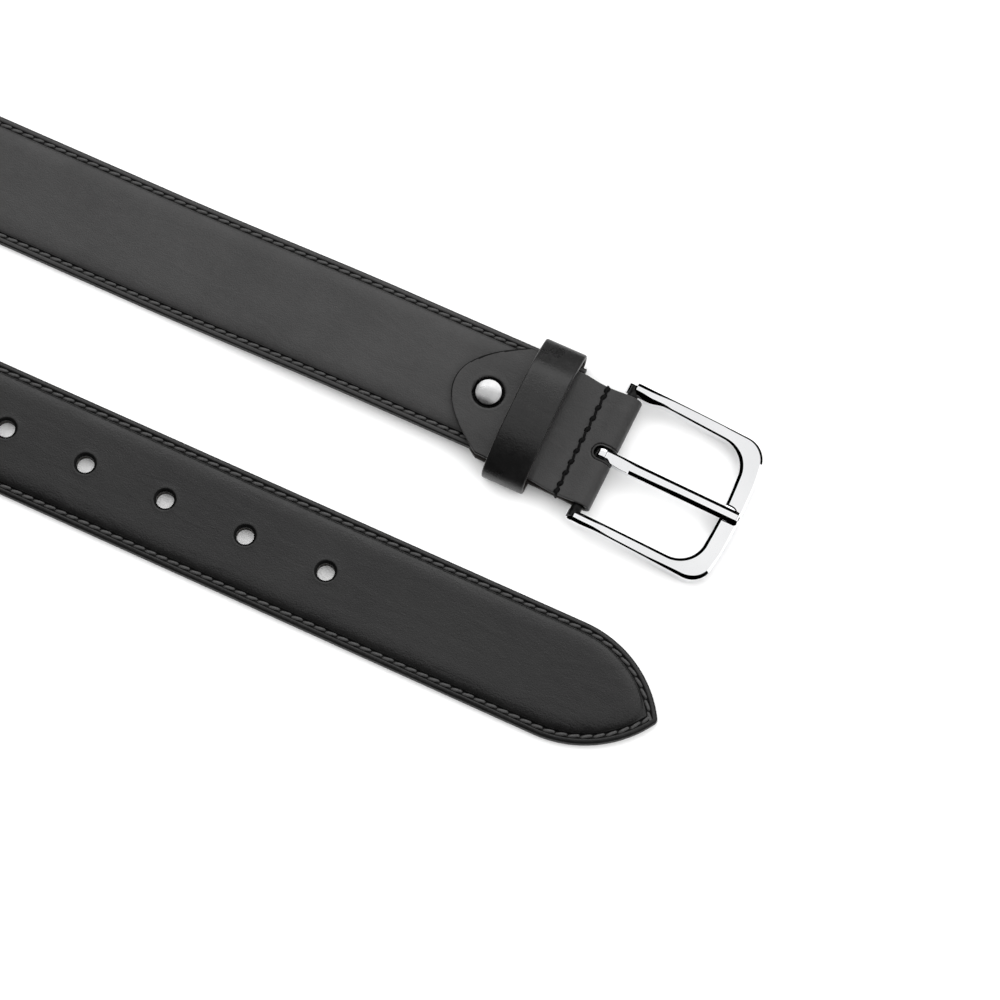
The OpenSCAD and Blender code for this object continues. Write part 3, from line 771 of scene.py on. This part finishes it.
def make_chape():
    """The chape as a grid of columns, each from the front leaf's end round the bar to the rear leaf's."""
    ys = sorted({round(v, 4) for v in
                 [s * (HALF_W - e) for s in (1, -1) for e in (0, 0.05, 0.13, 0.26, 0.42, 0.8, 1.3, 1.9)]
                 + list(np.arange(-15, 15.01, 0.75)) + list(np.arange(-5.6, 5.61, 0.2))})
    line = fold_line()
    first = line[0][0]
    ts = [0, 0.002, 0.005, 0.01, 0.018, 0.03, 0.05] + list(np.linspace(0.075, 0.985, 66))
    columns = []
    for y in ys:
        end = leaf_end(y)
        leaf = []
        for t in ts:
            straight = -CHAPE_LEN + (first + CHAPE_LEN) * t
            follow = end + (first - end) * t
            w = smooth((t - 0.02) / 0.5)
            x = follow * (1 - w) + max(straight, follow) * w
            leaf.append((x, LEAF_Z))
        columns.append(leaf + [tuple(p) for p in line] + [(x, -z) for x, z in leaf[::-1]])
    n = len(columns[0])
    leaf_n = len(ts)
    top, bottom = [], []
    for j, y in enumerate(ys):
        pts = np.array(columns[j])
        tangent = np.gradient(pts, axis=0)
        tangent /= np.linalg.norm(tangent, axis=1)[:, None]
        tangent[:leaf_n - 2] = (1, 0)
        tangent[n - leaf_n + 2:] = (-1, 0)
        normal = np.stack([-tangent[:, 1], tangent[:, 0]], axis=1)
        for i in range(n):
            x, z = pts[i]
            on_leaf = i < leaf_n or i >= n - leaf_n
            half = rounded_half(outline_gap(x, y) if on_leaf and x < -15 else HALF_W - abs(y))
            outer = outer_half(half, x, y, i < leaf_n)
            # the front leaf droops over the strap's lower edges
            droop = 0.0
            if i < leaf_n + 8:
                drop = smooth((abs(y) - 9.8) / 8.5) * 0.42
                droop = -drop * (1 - smooth((x + 18.0) / 7.0))
            top.append(at_chape(x + normal[i][0] * outer, y, z + normal[i][1] * outer + droop))
            bottom.append(at_chape(x - normal[i][0] * half, y, z - normal[i][1] * half + droop))
    verts = top + bottom
    count = len(top)
    faces, kinds = [], []
    for j in range(len(ys) - 1):
        for i in range(n - 1):
            a, b = j * n + i, (j + 1) * n + i
            faces.append((a, b, b + 1, a + 1))
            faces.append((count + a, count + a + 1, count + b + 1, count + b))
            x, y = (columns[j][i][0] + columns[j][i + 1][0]) / 2, (ys[j] + ys[j + 1]) / 2
            # painted shade in the groove round the screw and the pressed line round the slot; along the
            # leaves' cut edges, black edge paint with a painted shadow line beside it
            in_shaded_ring = i < leaf_n and 3.7 < math.hypot(x + RIVET_BACK, y) < 4.65
            on_edge_paint_and_shadow = (i < leaf_n or i >= n - leaf_n) and x < -15 and outline_gap(x, y) < 0.3
            on_shaded_slot_line = x > -5.6 and abs(slot_gap(x, y) - SLOT_LINE) < 0.16
            kinds += [3 if in_shaded_ring or on_edge_paint_and_shadow or on_shaded_slot_line else 0, 2]
    for i in range(n - 1):
        for j in (0, len(ys) - 1):
            a = j * n + i
            faces.append((a, a + 1, count + a + 1, count + a))
            kinds.append(1)
    for j in range(len(ys) - 1):
        for i in (0, n - 1):
            a, b = j * n + i, (j + 1) * n + i
            faces.append((a, b, count + b, count + a))
            kinds.append(1)
    return mesh_object("folded_chape", verts, faces, [M["front"], M["edge"], M["lining"], M["channel"]], 50.0,
                       face_materials=kinds)


def slot_cutter():
    """The prong's slot: round at one end, and running out past the fold at the other."""
    x0, x1 = SLOT_END + SLOT_HALF, 8.0
    points = [(x0 - SLOT_HALF * math.sin(a), SLOT_Y + SLOT_HALF * math.cos(a))
              for a in np.linspace(0, math.pi, 24)]
    points += [(x1, SLOT_Y - SLOT_HALF), (x1, SLOT_Y + SLOT_HALF)]
    return loft([[at_bar(x, y, z) for x, y in points] for z in (-5, 5)])


def screw_cutter(r, low, high):
    """A round hole on the belt screw's axis, between two heights."""
    ring = [(-RIVET_BACK + r * math.cos(a), r * math.sin(a)) for a in circle(64)]
    return loft([[at_leaf(x, y, z) for x, y in ring] for z in (low, high)])


chape = make_chape()
# the slot, the screw's bore, and the recess for its slotted head in the rear leaf
for verts, faces in (slot_cutter(), screw_cutter(2.06, -6, 6), screw_cutter(4.1, -4.5, -2.05)):
    cut(chape, mesh_object("cutter", verts, faces, [M["edge"]]))

# Sewn row across the chape: thick thread that dives into a hole between stitches and turns over both edges
ROW_Z, ROW_PITCH, ROW_COUNT = 1.66, 3.55, 10


def row_thread(name, sign, height, wraps):
    """The row's stitches, the lumps where the thread dives in, and a turn over each edge named in wraps."""
    tubes = []
    up = np.array([0.0, 0.0, float(sign)])
    side = at_chape(ROW_X + 1, 0) - at_chape(ROW_X, 0)
    along = at_chape(ROW_X, 1) - at_chape(ROW_X, 0)
    for i in range(ROW_COUNT):
        y = (i - (ROW_COUNT - 1) / 2) * ROW_PITCH
        place = at_chape(ROW_X, y, sign * ROW_Z)
        tubes.append(stitch(place, along, side, up, ROW_PITCH * 1.02, 0.66, height, -0.3, 0.1))
    for i in range(ROW_COUNT + 1):
        y = (i - ROW_COUNT / 2) * ROW_PITCH
        y = max(-HALF_W + 1.0, min(HALF_W - 1.0, y))
        centre = at_chape(ROW_X, y, sign * (ROW_Z - 0.06))
        lump = []
        for a in np.linspace(0.12, math.pi - 0.12, 9):
            reach = math.sin(a)
            lump.append([centre - along * (1.05 * math.cos(a))
                         + side * (0.8 * reach * math.cos(b) - 0.3 * math.cos(a))
                         + up * (0.46 * reach * math.sin(b)) for b in circle(12)])
        tubes.append(lump)
    for end in wraps:
        path = [(16.3, 1.74), (17.0, 1.86), (17.55, 1.62), (17.72, 1.0), (17.75, 0.0), (17.72, -1.0),
                (17.55, -1.62), (17.0, -1.86), (16.3, -1.74)]
        rings = []
        for k, (py, pz) in enumerate(path):
            ahead = np.array(path[min(k + 1, len(path) - 1)]) - np.array(path[max(k - 1, 0)])
            ahead = ahead / np.linalg.norm(ahead)
            out = along * (end * -ahead[1]) + np.array([0.0, 0.0, ahead[0]])
            middle = at_chape(ROW_X - 0.2 * end, end * py, pz)
            rings.append([middle + side * (0.36 * math.cos(b)) + out * (0.3 * math.sin(b))
                          for b in circle(12)])
        tubes.append(rings)
    verts, faces = joined(tubes)
    return mesh_object(name, verts, faces, [M["thick_thread"]], 60.0, weld=0)


chape_thread_front = row_thread("chape_stitching_front", 1, 0.62, (1, -1))
chape_thread_back = row_thread("chape_stitching_back", -1, 0.5, ())


# ---------------------------------------------------------------- belt screw
def dome_profile():
    """Outline of the screw's post and domed head as (radius, height from the strap's middle)."""
    seat = STRAP_T / 2 + CHAPE_T - 0.3
    head_r, side, dome_h = 3.8, 0.45, 0.65
    radius = (head_r ** 2 + dome_h ** 2) / (2 * dome_h)
    low = seat + side + dome_h - radius
    foot = 0.8 - STRAP_T / 2 - CHAPE_T
    points = [(0.0, foot), (2.0, foot), (2.0, seat), (3.66, seat), (3.77, seat + 0.05), (3.8, seat + 0.14),
              (3.8, seat + 0.34), (3.77, seat + 0.43), (3.7, seat + 0.49)]
    for r in np.linspace(3.62, 0.0, 20):
        points.append((float(r), low + math.sqrt(radius ** 2 - r * r)))
    return points


def at_screw(r, a, z):
    """Point of the belt screw at radius r, angle a and height z."""
    return RIVET[0] + r * math.cos(a), RIVET[1] + r * math.sin(a), MID_Z + z


verts, faces = turned(dome_profile(), at_screw, 96)
rivet_post = mesh_object("screw_post_head", verts, faces, [M["satin"]], 50.0)


# ---------------------------------------------------------------- keeper
KEEPER_T = 1.4
KEEPER_X, KEEPER_Y = BAR_X - 22.4, ARM_GAP - 1.6


def curve_through(points, count):
    """Evenly spaced points of a smooth curve through the given ones."""
    points = np.array(points, dtype=float)
    padded = np.vstack([2 * points[0] - points[1], points, 2 * points[-1] - points[-2]])
    dense = []
    for i in range(1, len(padded) - 2):
        dense += [spline(*padded[i - 1:i + 3], t) for t in np.linspace(0, 1, 30, endpoint=False)]
    dense = np.array(dense + [points[-1]])
    run = np.concatenate([[0], np.cumsum(np.linalg.norm(np.diff(dense, axis=0), axis=1))])
    s = np.linspace(0, run[-1], count)
    return np.stack([np.interp(s, run, dense[:, 0]), np.interp(s, run, dense[:, 1])], axis=1)


def keeper_outline():
    """Outer line of the loop as (y, z), from one butted end at the bottom round to the other:
    flat below, and arched over the strap with soft shoulders."""
    far = [(0.15, 0), (6, 0), (12, 0), (17.0, 0.0), (19.6, 0.1), (21.2, 0.6), (22.15, 1.6), (22.55, 3.0),
           (22.6, 4.5), (22.5, 5.7), (22.0, 6.75), (21.0, 7.6), (19.5, 8.5), (17.5, 9.55), (15.5, 10.55),
           (13.5, 11.48), (11.5, 12.16), (9.0, 12.6), (5.0, 12.9), (2.0, 12.95), (0, 12.95)]
    near = [(-2.0, 12.93), (-5.0, 12.79), (-8.0, 12.52), (-10.5, 12.15), (-13.0, 11.57), (-15.0, 10.92),
            (-17.0, 10.06), (-19.0, 8.96), (-20.6, 7.6), (-21.55, 6.1), (-21.88, 4.6), (-21.85, 3.1),
            (-21.5, 1.7), (-20.6, 0.65), (-19.0, 0.1), (-16.5, 0.0), (-12, 0), (-6, 0), (-0.15, 0)]
    return curve_through(far + near, 220)


def make_keeper():
    """The loop: its section across the leather, carried round the outline."""
    outer = keeper_outline()
    tangent = np.gradient(outer, axis=0)
    tangent /= np.linalg.norm(tangent, axis=1)[:, None]
    inward = np.stack([-tangent[:, 1], tangent[:, 0]], axis=1)
    across = [(-6.3, 0.62), (-6.28, 0.42), (-6.2, 0.2), (-6.05, 0.07), (-5.8, 0.0), (-4.5, 0.0), (-2.0, 0.0),
              (2.0, 0.0), (4.5, 0.0), (5.8, 0.0), (6.05, 0.07), (6.2, 0.2), (6.28, 0.42), (6.3, 0.62),
              (6.3, KEEPER_T - 0.25), (6.2, KEEPER_T - 0.06), (6.0, KEEPER_T), (3.0, KEEPER_T),
              (-3.0, KEEPER_T), (-6.0, KEEPER_T), (-6.2, KEEPER_T - 0.06), (-6.3, KEEPER_T - 0.25)]
    rings = []
    for p, q in zip(outer, inward):
        rings.append([(KEEPER_X + x, KEEPER_Y + p[0] + q[0] * d, p[1] + q[1] * d) for x, d in across])
    verts, faces = loft(rings)
    kinds = []
    n = len(across)
    for face in faces:
        if len(face) > 4:
            kinds.append(1)
            continue
        # which step of the section this face belongs to: cut edges, the inside, or the smooth outside
        low, high = min(v % n for v in face), max(v % n for v in face)
        k = low if high - low == 1 else n - 1
        kinds.append(1 if k in (0, 1, 13, 14, 20, n - 1) else 2 if 15 <= k <= 19 else 0)
    return mesh_object("keeper_loop", verts, faces, [M["keeper"], M["cut"], M["lining"]], 45.0,
                       face_materials=kinds)


keeper = make_keeper()


# ---------------------------------------------------------------- buckle frame
FRAME_T, FRAME_LEN, WINDOW_LEN = 4.0, 42.6, 37.2
# outer outline: half width, corner radius, how much wider it gets, and the bow of its end
OUT_W, CORNER_OUT, FLARE_W, BOW = 22.25, 6.5, 0.3, 1.1
# window: half width, how it narrows, the bow of its end, corner radius, and where the corner starts
IN_W, IN_DRAW, IN_BOW, CORNER_IN, CORNER_X = 19.5, 0.021, 0.0045, 8.3, 28.4
LUG_R = 2.4
TILT = math.asin((MID_Z - FRAME_T / 2) / FRAME_LEN)
# the frame hangs a little askew on its bar
YAW, YAW_SHIFT = 0.0314, 0.13
# the prong rests in a round seat that is cut into the frame's end
SEAT_R, SEAT_Y, SEAT_FLOOR, SEAT_FROM, SEAT_TO = 3.42, -1.26, 0.8, 34.5, 38.9


def tilted(x, y, z):
    """A point of the frame's own plane, which dips towards its far end."""
    return at_bar(x * math.cos(TILT) + z * math.sin(TILT), y, -x * math.sin(TILT) + z * math.cos(TILT))


def outer_line():
    """The frame's outer outline on the far side, from above the inner corner to the middle of the end."""
    side_x = FRAME_LEN - BOW
    # the corner's arc and the end's bow share a tangent where they meet
    bow_w = OUT_W + FLARE_W - CORNER_OUT
    bow_r = ((CORNER_OUT + BOW) ** 2 + bow_w ** 2 - CORNER_OUT ** 2) / (2 * BOW)
    meet = math.atan2(bow_w, bow_r - CORNER_OUT - BOW)
    points = [(0.0, OUT_W), (side_x - CORNER_OUT, OUT_W + FLARE_W)]
    points += [(side_x - CORNER_OUT + CORNER_OUT * math.sin(a), bow_w + CORNER_OUT * math.cos(a))
               for a in np.linspace(0.03, math.pi / 2 - meet, 30)]
    points += [(FRAME_LEN - bow_r + math.sqrt(bow_r ** 2 - y * y), y)
               for y in np.linspace(bow_r * math.sin(meet) - 0.3, -1.0, 30)]
    return np.array(points)


def outer_hit(start, direction):
    """Where a ray from inside the window crosses the outer outline."""
    line = outer_line()
    for p, q in zip(line[:-1], line[1:]):
        step = q - p
        cross = direction[0] * step[1] - direction[1] * step[0]
        if abs(cross) < 1e-9:
            continue
        gap = p - start
        t = (gap[0] * step[1] - gap[1] * step[0]) / cross
        u = (gap[0] * direction[1] - gap[1] * direction[0]) / cross
        if t > 0 and -1e-6 <= u <= 1 + 1e-6:
            return start + direction * t
    raise ValueError("the ray misses the outline")


def frame_stations():
    """(outer point, inner point, length along the frame from the bar), from the far lug to the near one."""
    half = []
    corner = np.array([CORNER_X, IN_W - IN_DRAW * CORNER_X - CORNER_IN])
    arm = list(np.linspace(-LUG_R, 0, 13)) + [0.4, 0.8, 1.4, 2.0, 3.0] + list(np.linspace(4, CORNER_X, 20))
    for x in arm:
        inner = (x, IN_W - IN_DRAW * x)
        outer = (x, OUT_W) if x <= 0 else tuple(outer_hit(np.array(inner), np.array([0.0, 1.0])))
        half.append((outer, inner, x))
    for a in np.linspace(90, 5, 31)[1:]:
        ray = np.array([math.cos(math.radians(a)), math.sin(math.radians(a))])
        run = CORNER_X + 8.0 * (90 - a) / 85
        half.append((tuple(outer_hit(corner, ray)), tuple(corner + CORNER_IN * ray), run))
    for y in np.linspace(corner[1] - 0.7, 0, 13):
        inner = np.array([WINDOW_LEN - IN_BOW * y * y, y])
        outer = outer_hit(inner, np.array([1.0, 0.0]))
        half.append((tuple(outer), tuple(inner), CORNER_X + 8.7 + corner[1] - y))
    line = []
    for k, (o, i, d) in enumerate(half + half[-2::-1]):
        # rounded lugs: the far one swells inwards, the near one is shorter and swells outwards a little
        round_off = 1.3 * (1 - math.sqrt(max(0.0, 1 - (d / LUG_R) ** 2))) if d < 0 else 0.0
        if k < len(half):
            line.append(((o[0], o[1] - round_off), (i[0], i[1] - 1.1 * (1 - smooth((i[0] - 4.5) / 5.5))), d))
        else:
            short = 0.8 if d < 0 else 1.0
            swell = 0.35 * (1 - smooth((o[0] - 2.0) / 6.0))
            line.append(((o[0] * short, -o[1] - swell + round_off), (i[0] * short, -i[1]), d))
    return line


def between(d, knots):
    """Straight-line interpolation through (distance, value) pairs."""
    return float(np.interp(d, [k[0] for k in knots], [k[1] for k in knots]))


# Widths of the bevels either side of the frame's flat top, along each arm from its lug to the end bar
INNER_BEVEL = {1: [(-2.4, 1.7), (3, 1.6), (6, 1.3), (8.5, 0.75), (11.5, 0.4), (15, 0.47), (29, 0.53),
                   (33, 0.95), (37, 0.92), (42, 0.82)],
               -1: [(-2.4, 1.0), (6, 0.94), (9, 0.75), (20, 0.8), (30, 0.93), (36, 0.92), (42, 0.82)]}
OUTER_BEVEL = {1: [(-2.4, 1.05), (3, 1.0), (6, 0.9), (9, 0.66), (12, 0.48), (18, 0.38), (27, 0.36),
                   (30, 0.55), (33, 0.78), (35.2, 0.55), (37, 0.42), (42, 0.6)],
               -1: [(-2.4, 1.0), (3, 0.95), (6, 0.85), (9, 0.6), (12, 0.44), (24, 0.47), (29, 0.72),
                    (32, 1.12), (34.5, 0.72), (36.5, 0.42), (42, 0.6)]}
BEVEL = math.tan(math.radians(32))


def bevelled(width, high, inner, outer):
    """Section of the frame from the inner wall over the top and down the outer wall to the underside."""
    room = min(1.0, width / (inner + outer) * 0.94)
    inner, outer = inner * room, outer * room
    low_in = max(high - inner * BEVEL, -high * 0.2)
    low_out = max(high - outer * BEVEL, -high * 0.2)
    low_roll = min(0.8, width * 0.3)
    low_drop = min(0.8, high * 0.7)
    points = [(0.0, low_in), (inner, high)]
    points += [(inner + (width - inner - outer) * t, high) for t in (0.25, 0.5, 0.75)]
    points += [(width - outer, high), (width, low_out)]
    for t in np.linspace(math.pi / 2, 0, 6):
        points.append((width - low_roll * (1 - math.sin(t)), -high + low_drop * (1 - math.cos(t))))
    for t in np.linspace(0, math.pi / 2, 6):
        points.append((low_roll * (1 - math.sin(t)), -high + low_drop * (1 - math.cos(t))))
    return points


def make_frame():
    """The frame without its seat: a bevelled section carried from one lug round to the other."""
    rings = []
    for outer, inner, d in frame_stations():
        o, i = np.array(outer), np.array(inner)
        side = 1 if outer[1] >= 0 else -1
        w = float(np.linalg.norm(o - i))
        e = (o - i) / w
        high = FRAME_T / 2 - 0.4 * max(0.0, 0.8 - d) ** 1.5
        if d < 0:
            high = max(0.05, min(high, math.sqrt(max(0.0, LUG_R ** 2 - d * d))))
        shrink = min(1.0, high / (FRAME_T / 2) * 1.4)
        profile = bevelled(w, high, between(d, INNER_BEVEL[side]) * shrink,
                           between(d, OUTER_BEVEL[side]) * shrink)
        ring = []
        for a, z in profile:
            p = i + e * a
            ring.append(tilted(p[0], p[1] + YAW_SHIFT - YAW * p[0], z))
        rings.append(ring)
    verts, faces = loft(rings)
    return mesh_object("buckle_frame_chrome", verts, faces, [M["chrome"]], 20.0)


def seat_cutter():
    """A round bar with a domed end, whose lowest line is the floor of the prong's seat."""
    rings = []
    for x in [SEAT_FROM] + list(np.linspace(36.0, SEAT_TO, 5)):
        rings.append([tilted(x, SEAT_Y + SEAT_R * math.cos(a), SEAT_FLOOR + SEAT_R + SEAT_R * math.sin(a))
                      for a in circle(96)])
    for t in np.linspace(0, math.pi / 2, 18)[1:-1]:
        rings.append([tilted(SEAT_TO + SEAT_R * math.sin(t), SEAT_Y + SEAT_R * math.cos(t) * math.cos(a),
                             SEAT_FLOOR + SEAT_R + SEAT_R * math.cos(t) * math.sin(a)) for a in circle(96)])
    return loft(rings)


buckle_frame = make_frame()
verts, faces = seat_cutter()
cut(buckle_frame, mesh_object("cutter", verts, faces, [M["chrome"]]), sharp_deg=20.0)


# ---------------------------------------------------------------- prong
PRONG_END, PRONG_HALF = 42.8, 1.93
# heights of its top above the bar's middle, at the root and at the end
PRONG_ROOT_Z, PRONG_END_Z = 2.35, 0.95
EYE_Y, EYE_BORE = -1.22, 1.65


def prong_y(x):
    """Middle of the prong across the frame."""
    return -1.5 - 0.0055 * x


def make_shank():
    """The prong from the bar to its blunt end on the seat, with two bevelled upper edges."""
    rings = []
    seat_z = -WINDOW_LEN * math.sin(TILT) + (FRAME_T / 2 - 1.2) * math.cos(TILT) + 0.1
    for x in ([0.2, 0.8, 1.4, 1.9, 2.4, 2.8, 3.2, 3.8, 5.0, 6.0, 7.0, 8.0, 8.4, 8.6, 8.8, 9.0, 9.6, 10.2]
              + list(np.linspace(11.5, 36, 16))
              + [37.5, 38.6, 39.6, 40.4, 41.0, 41.6, 42.0, 42.3, 42.55, 42.72, PRONG_END]):
        low = seat_z * min(1.0, x / WINDOW_LEN) - max(0.0, x - WINDOW_LEN) * math.tan(TILT) + 0.02
        high = PRONG_ROOT_Z + (PRONG_END_Z - PRONG_ROOT_Z) * (x / PRONG_END) + 0.1 * (1 - smooth(x / 7.0))
        nose = max(0.0, (x - 41.3) / 1.5)
        blunt = math.sqrt(max(0.02, 1 - nose ** 2.6))
        far_half = PRONG_HALF * blunt
        near_half = (PRONG_HALF - 0.75 * (1 - smooth((x + 1.0) / 8.0))) * blunt
        high -= 1.0 * nose ** 2.2
        low += 1.35 * max(0.0, (x - 40.6) / 2.2) ** 1.4
        low = min(low, high - 0.3)
        # both upper edges are bevelled, but for a short flat behind the root on the near side
        far = min(0.65 + 0.37 * smooth((x - 4.5) / 6.5), far_half * 0.53)
        flat = smooth((x - 1.9) / 1.3) * (1 - smooth((x - 8.4) / 0.4))
        near = min(0.95 + 0.3 * smooth((x - 12) / 20), near_half * 0.6) * (1 - 0.9 * flat)
        room = high - low
        drop_far, drop_near = min(far * BEVEL, room * 0.7), min(near * BEVEL, room * 0.7)
        ring = [(far_half, low + 0.12), (far_half, high - drop_far), (far_half - far, high)]
        ring += [((far_half - far) * (1 - t) + (near - near_half) * t, high) for t in (0.25, 0.5, 0.75)]
        ring += [(near - near_half, high), (-near_half, high - drop_near), (-near_half, low + 0.12)]
        ring += [(near_half * t, low) for t in (-0.93, -0.4, 0.0, 0.4, 0.93)]
        rings.append([at_bar(x, prong_y(x) + py, pz) for py, pz in ring])
    verts, faces = loft(rings)
    return mesh_object("prong_chrome", verts, faces, [M["chrome"]], 20.0)


def at_eye(r, a, y):
    """Point of the prong's eye at radius r and angle a round the bar, and y along it."""
    return at_bar(r * math.cos(a), EYE_Y + y, r * math.sin(a))


def make_prong():
    """The shank joined to the eye, and the bar's bore through both."""
    shank = make_shank()
    eye = [(EYE_BORE, -1.6), (EYE_BORE, 1.6), (2.0, 1.6), (2.3, 1.5), (2.52, 1.3), (2.65, 1.0), (2.7, 0.6),
           (2.7, -0.6), (2.65, -1.0), (2.52, -1.3), (2.3, -1.5), (2.0, -1.6)]
    verts, faces = turned(eye, at_eye, 72)
    cut(shank, mesh_object("eye", verts, faces, [M["chrome"]], 30.0), "UNION", 20.0)
    verts, faces = loft([[at_eye(EYE_BORE, a, y) for a in circle(72)] for y in (-4, 4)])
    cut(shank, mesh_object("bore", verts, faces, [M["chrome"]]), sharp_deg=20.0)
    return shank


prong = make_prong()


# ---------------------------------------------------------------- what rides on what
for obj, body, nodes, slot in (
        (strap_front, "strap", ["strap_front"], "strap_leather"),
        (strap_filler, "strap", ["strap_filler"], "filler_board"),
        (strap_lining, "strap", ["strap_lining"], "lining_leather"),
        (thread_front, "strap", ["edge_thread_front"], "black_thread"),
        (thread_back, "strap", ["edge_thread_back"], "black_thread"),
        (chape, "strap", ["chape"], "strap_leather"),
        (chape_thread_front, "strap", ["chape_thread_front"], "black_thread"),
        (chape_thread_back, "strap", ["chape_thread_back"], "black_thread"),
        (rivet_post, "strap", ["rivet_post"], "satin_metal"),
        (keeper, "keeper", ["keeper"], "keeper_leather"),
        (buckle_frame, "buckle", ["buckle_frame"], "polished_metal"),
        (prong, "prong", ["prong"], "polished_metal")):
    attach(obj, body)
    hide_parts(*nodes)

# the buckle bar gets the steel painted dark for its shade and reflections
for node, material in (("rivet_screw", M["satin"]), ("keeper_staple", M["steel"]), ("buckle_bar", M["bar"])):
    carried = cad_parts[node]
    carried.data.materials.clear()
    carried.data.materials.append(material)


# ---------------------------------------------------------------- floor, light, camera
def make_floor():
    """White paper just below the belt. It is staging and isn't part of the belt."""
    bm = bmesh.new()
    bmesh.ops.create_grid(bm, x_segments=4, y_segments=4, size=3.0)
    floor = finish_mesh("studio_floor", bm, [])
    floor.location = (0.0, 0.0, -0.00006)
    n = Nodes("floor_paper")
    tone = n.noise(3.0, 2.0, 0.5)
    n.set(Base_Color=n.shades(tone, (0.86, 0.86, 0.86), (0.88, 0.88, 0.88)),
          Roughness=0.9, Specular_IOR_Level=0.1)
    floor.data.materials.append(n.material)


def panel(name, size, radiance, place, aim, mirrored=True):
    """A soft rectangular light that shines at aim. An unmirrored one only fills in, without a glint."""
    data = bpy.data.lights.new(name, "AREA")
    data.shape = "RECTANGLE"
    data.size, data.size_y = size
    data.energy = radiance * math.pi * size[0] * size[1]
    obj = bpy.data.objects.new(name, data)
    obj.location = place
    obj.rotation_euler = (Vector(aim) - Vector(place)).to_track_quat("-Z", "Y").to_euler()
    obj.visible_camera = False
    obj.visible_glossy = mirrored
    bpy.context.scene.collection.objects.link(obj)


make_floor()
panel("overhead", (2.2, 1.02), 0.95, (-0.1, 0.45, 1.3), (-0.1, 0.45, 0.0))
panel("far", (2.2, 0.98), 2.0, (-0.15, 1.29, 1.14), (0.0, 0.03, 0.0))
panel("left", (2.0, 1.0), 3.0, (-1.45, 0.1, 0.95), (0.0, 0.03, 0.0), mirrored=False)
panel("right", (2.0, 1.0), 2.0, (1.55, 0.1, 0.95), (0.0, 0.03, 0.0), mirrored=False)
panel("right_glint", (1.13, 1.0), 1.3, (1.55, 0.48, 0.95), (0.0, 0.48, 0.0))

world = bpy.data.worlds.new("studio")
bpy.context.scene.world = world
world.use_nodes = True
world.node_tree.nodes["Background"].inputs["Color"].default_value = (1.0, 1.0, 1.0, 1)
world.node_tree.nodes["Background"].inputs["Strength"].default_value = 0.8
# the studio behind the panels is dark, so that polished metal has dark lines between its highlights
world.cycles_visibility.glossy = False
bpy.context.scene.view_settings.view_transform = "Standard"

AZIMUTH, ELEVATION, DISTANCE = math.radians(24.9), math.radians(72.58), 1.1188
LENS, SENSOR = 143.2, 36.0
target = Vector((0.0849, 0.0403, 0.0))
back = Vector((math.sin(AZIMUTH) * math.cos(ELEVATION), -math.cos(AZIMUTH) * math.cos(ELEVATION),
               math.sin(ELEVATION)))
camera_data = bpy.data.cameras.new("camera")
camera_data.lens = LENS
camera_data.sensor_width = SENSOR
camera_data.clip_start, camera_data.clip_end = 0.01, 20.0
camera = bpy.data.objects.new("camera", camera_data)
camera.location = target + back * DISTANCE
camera.rotation_euler = (-back).to_track_quat("-Z", "Y").to_euler()
bpy.context.scene.collection.objects.link(camera)
bpy.context.scene.camera = camera
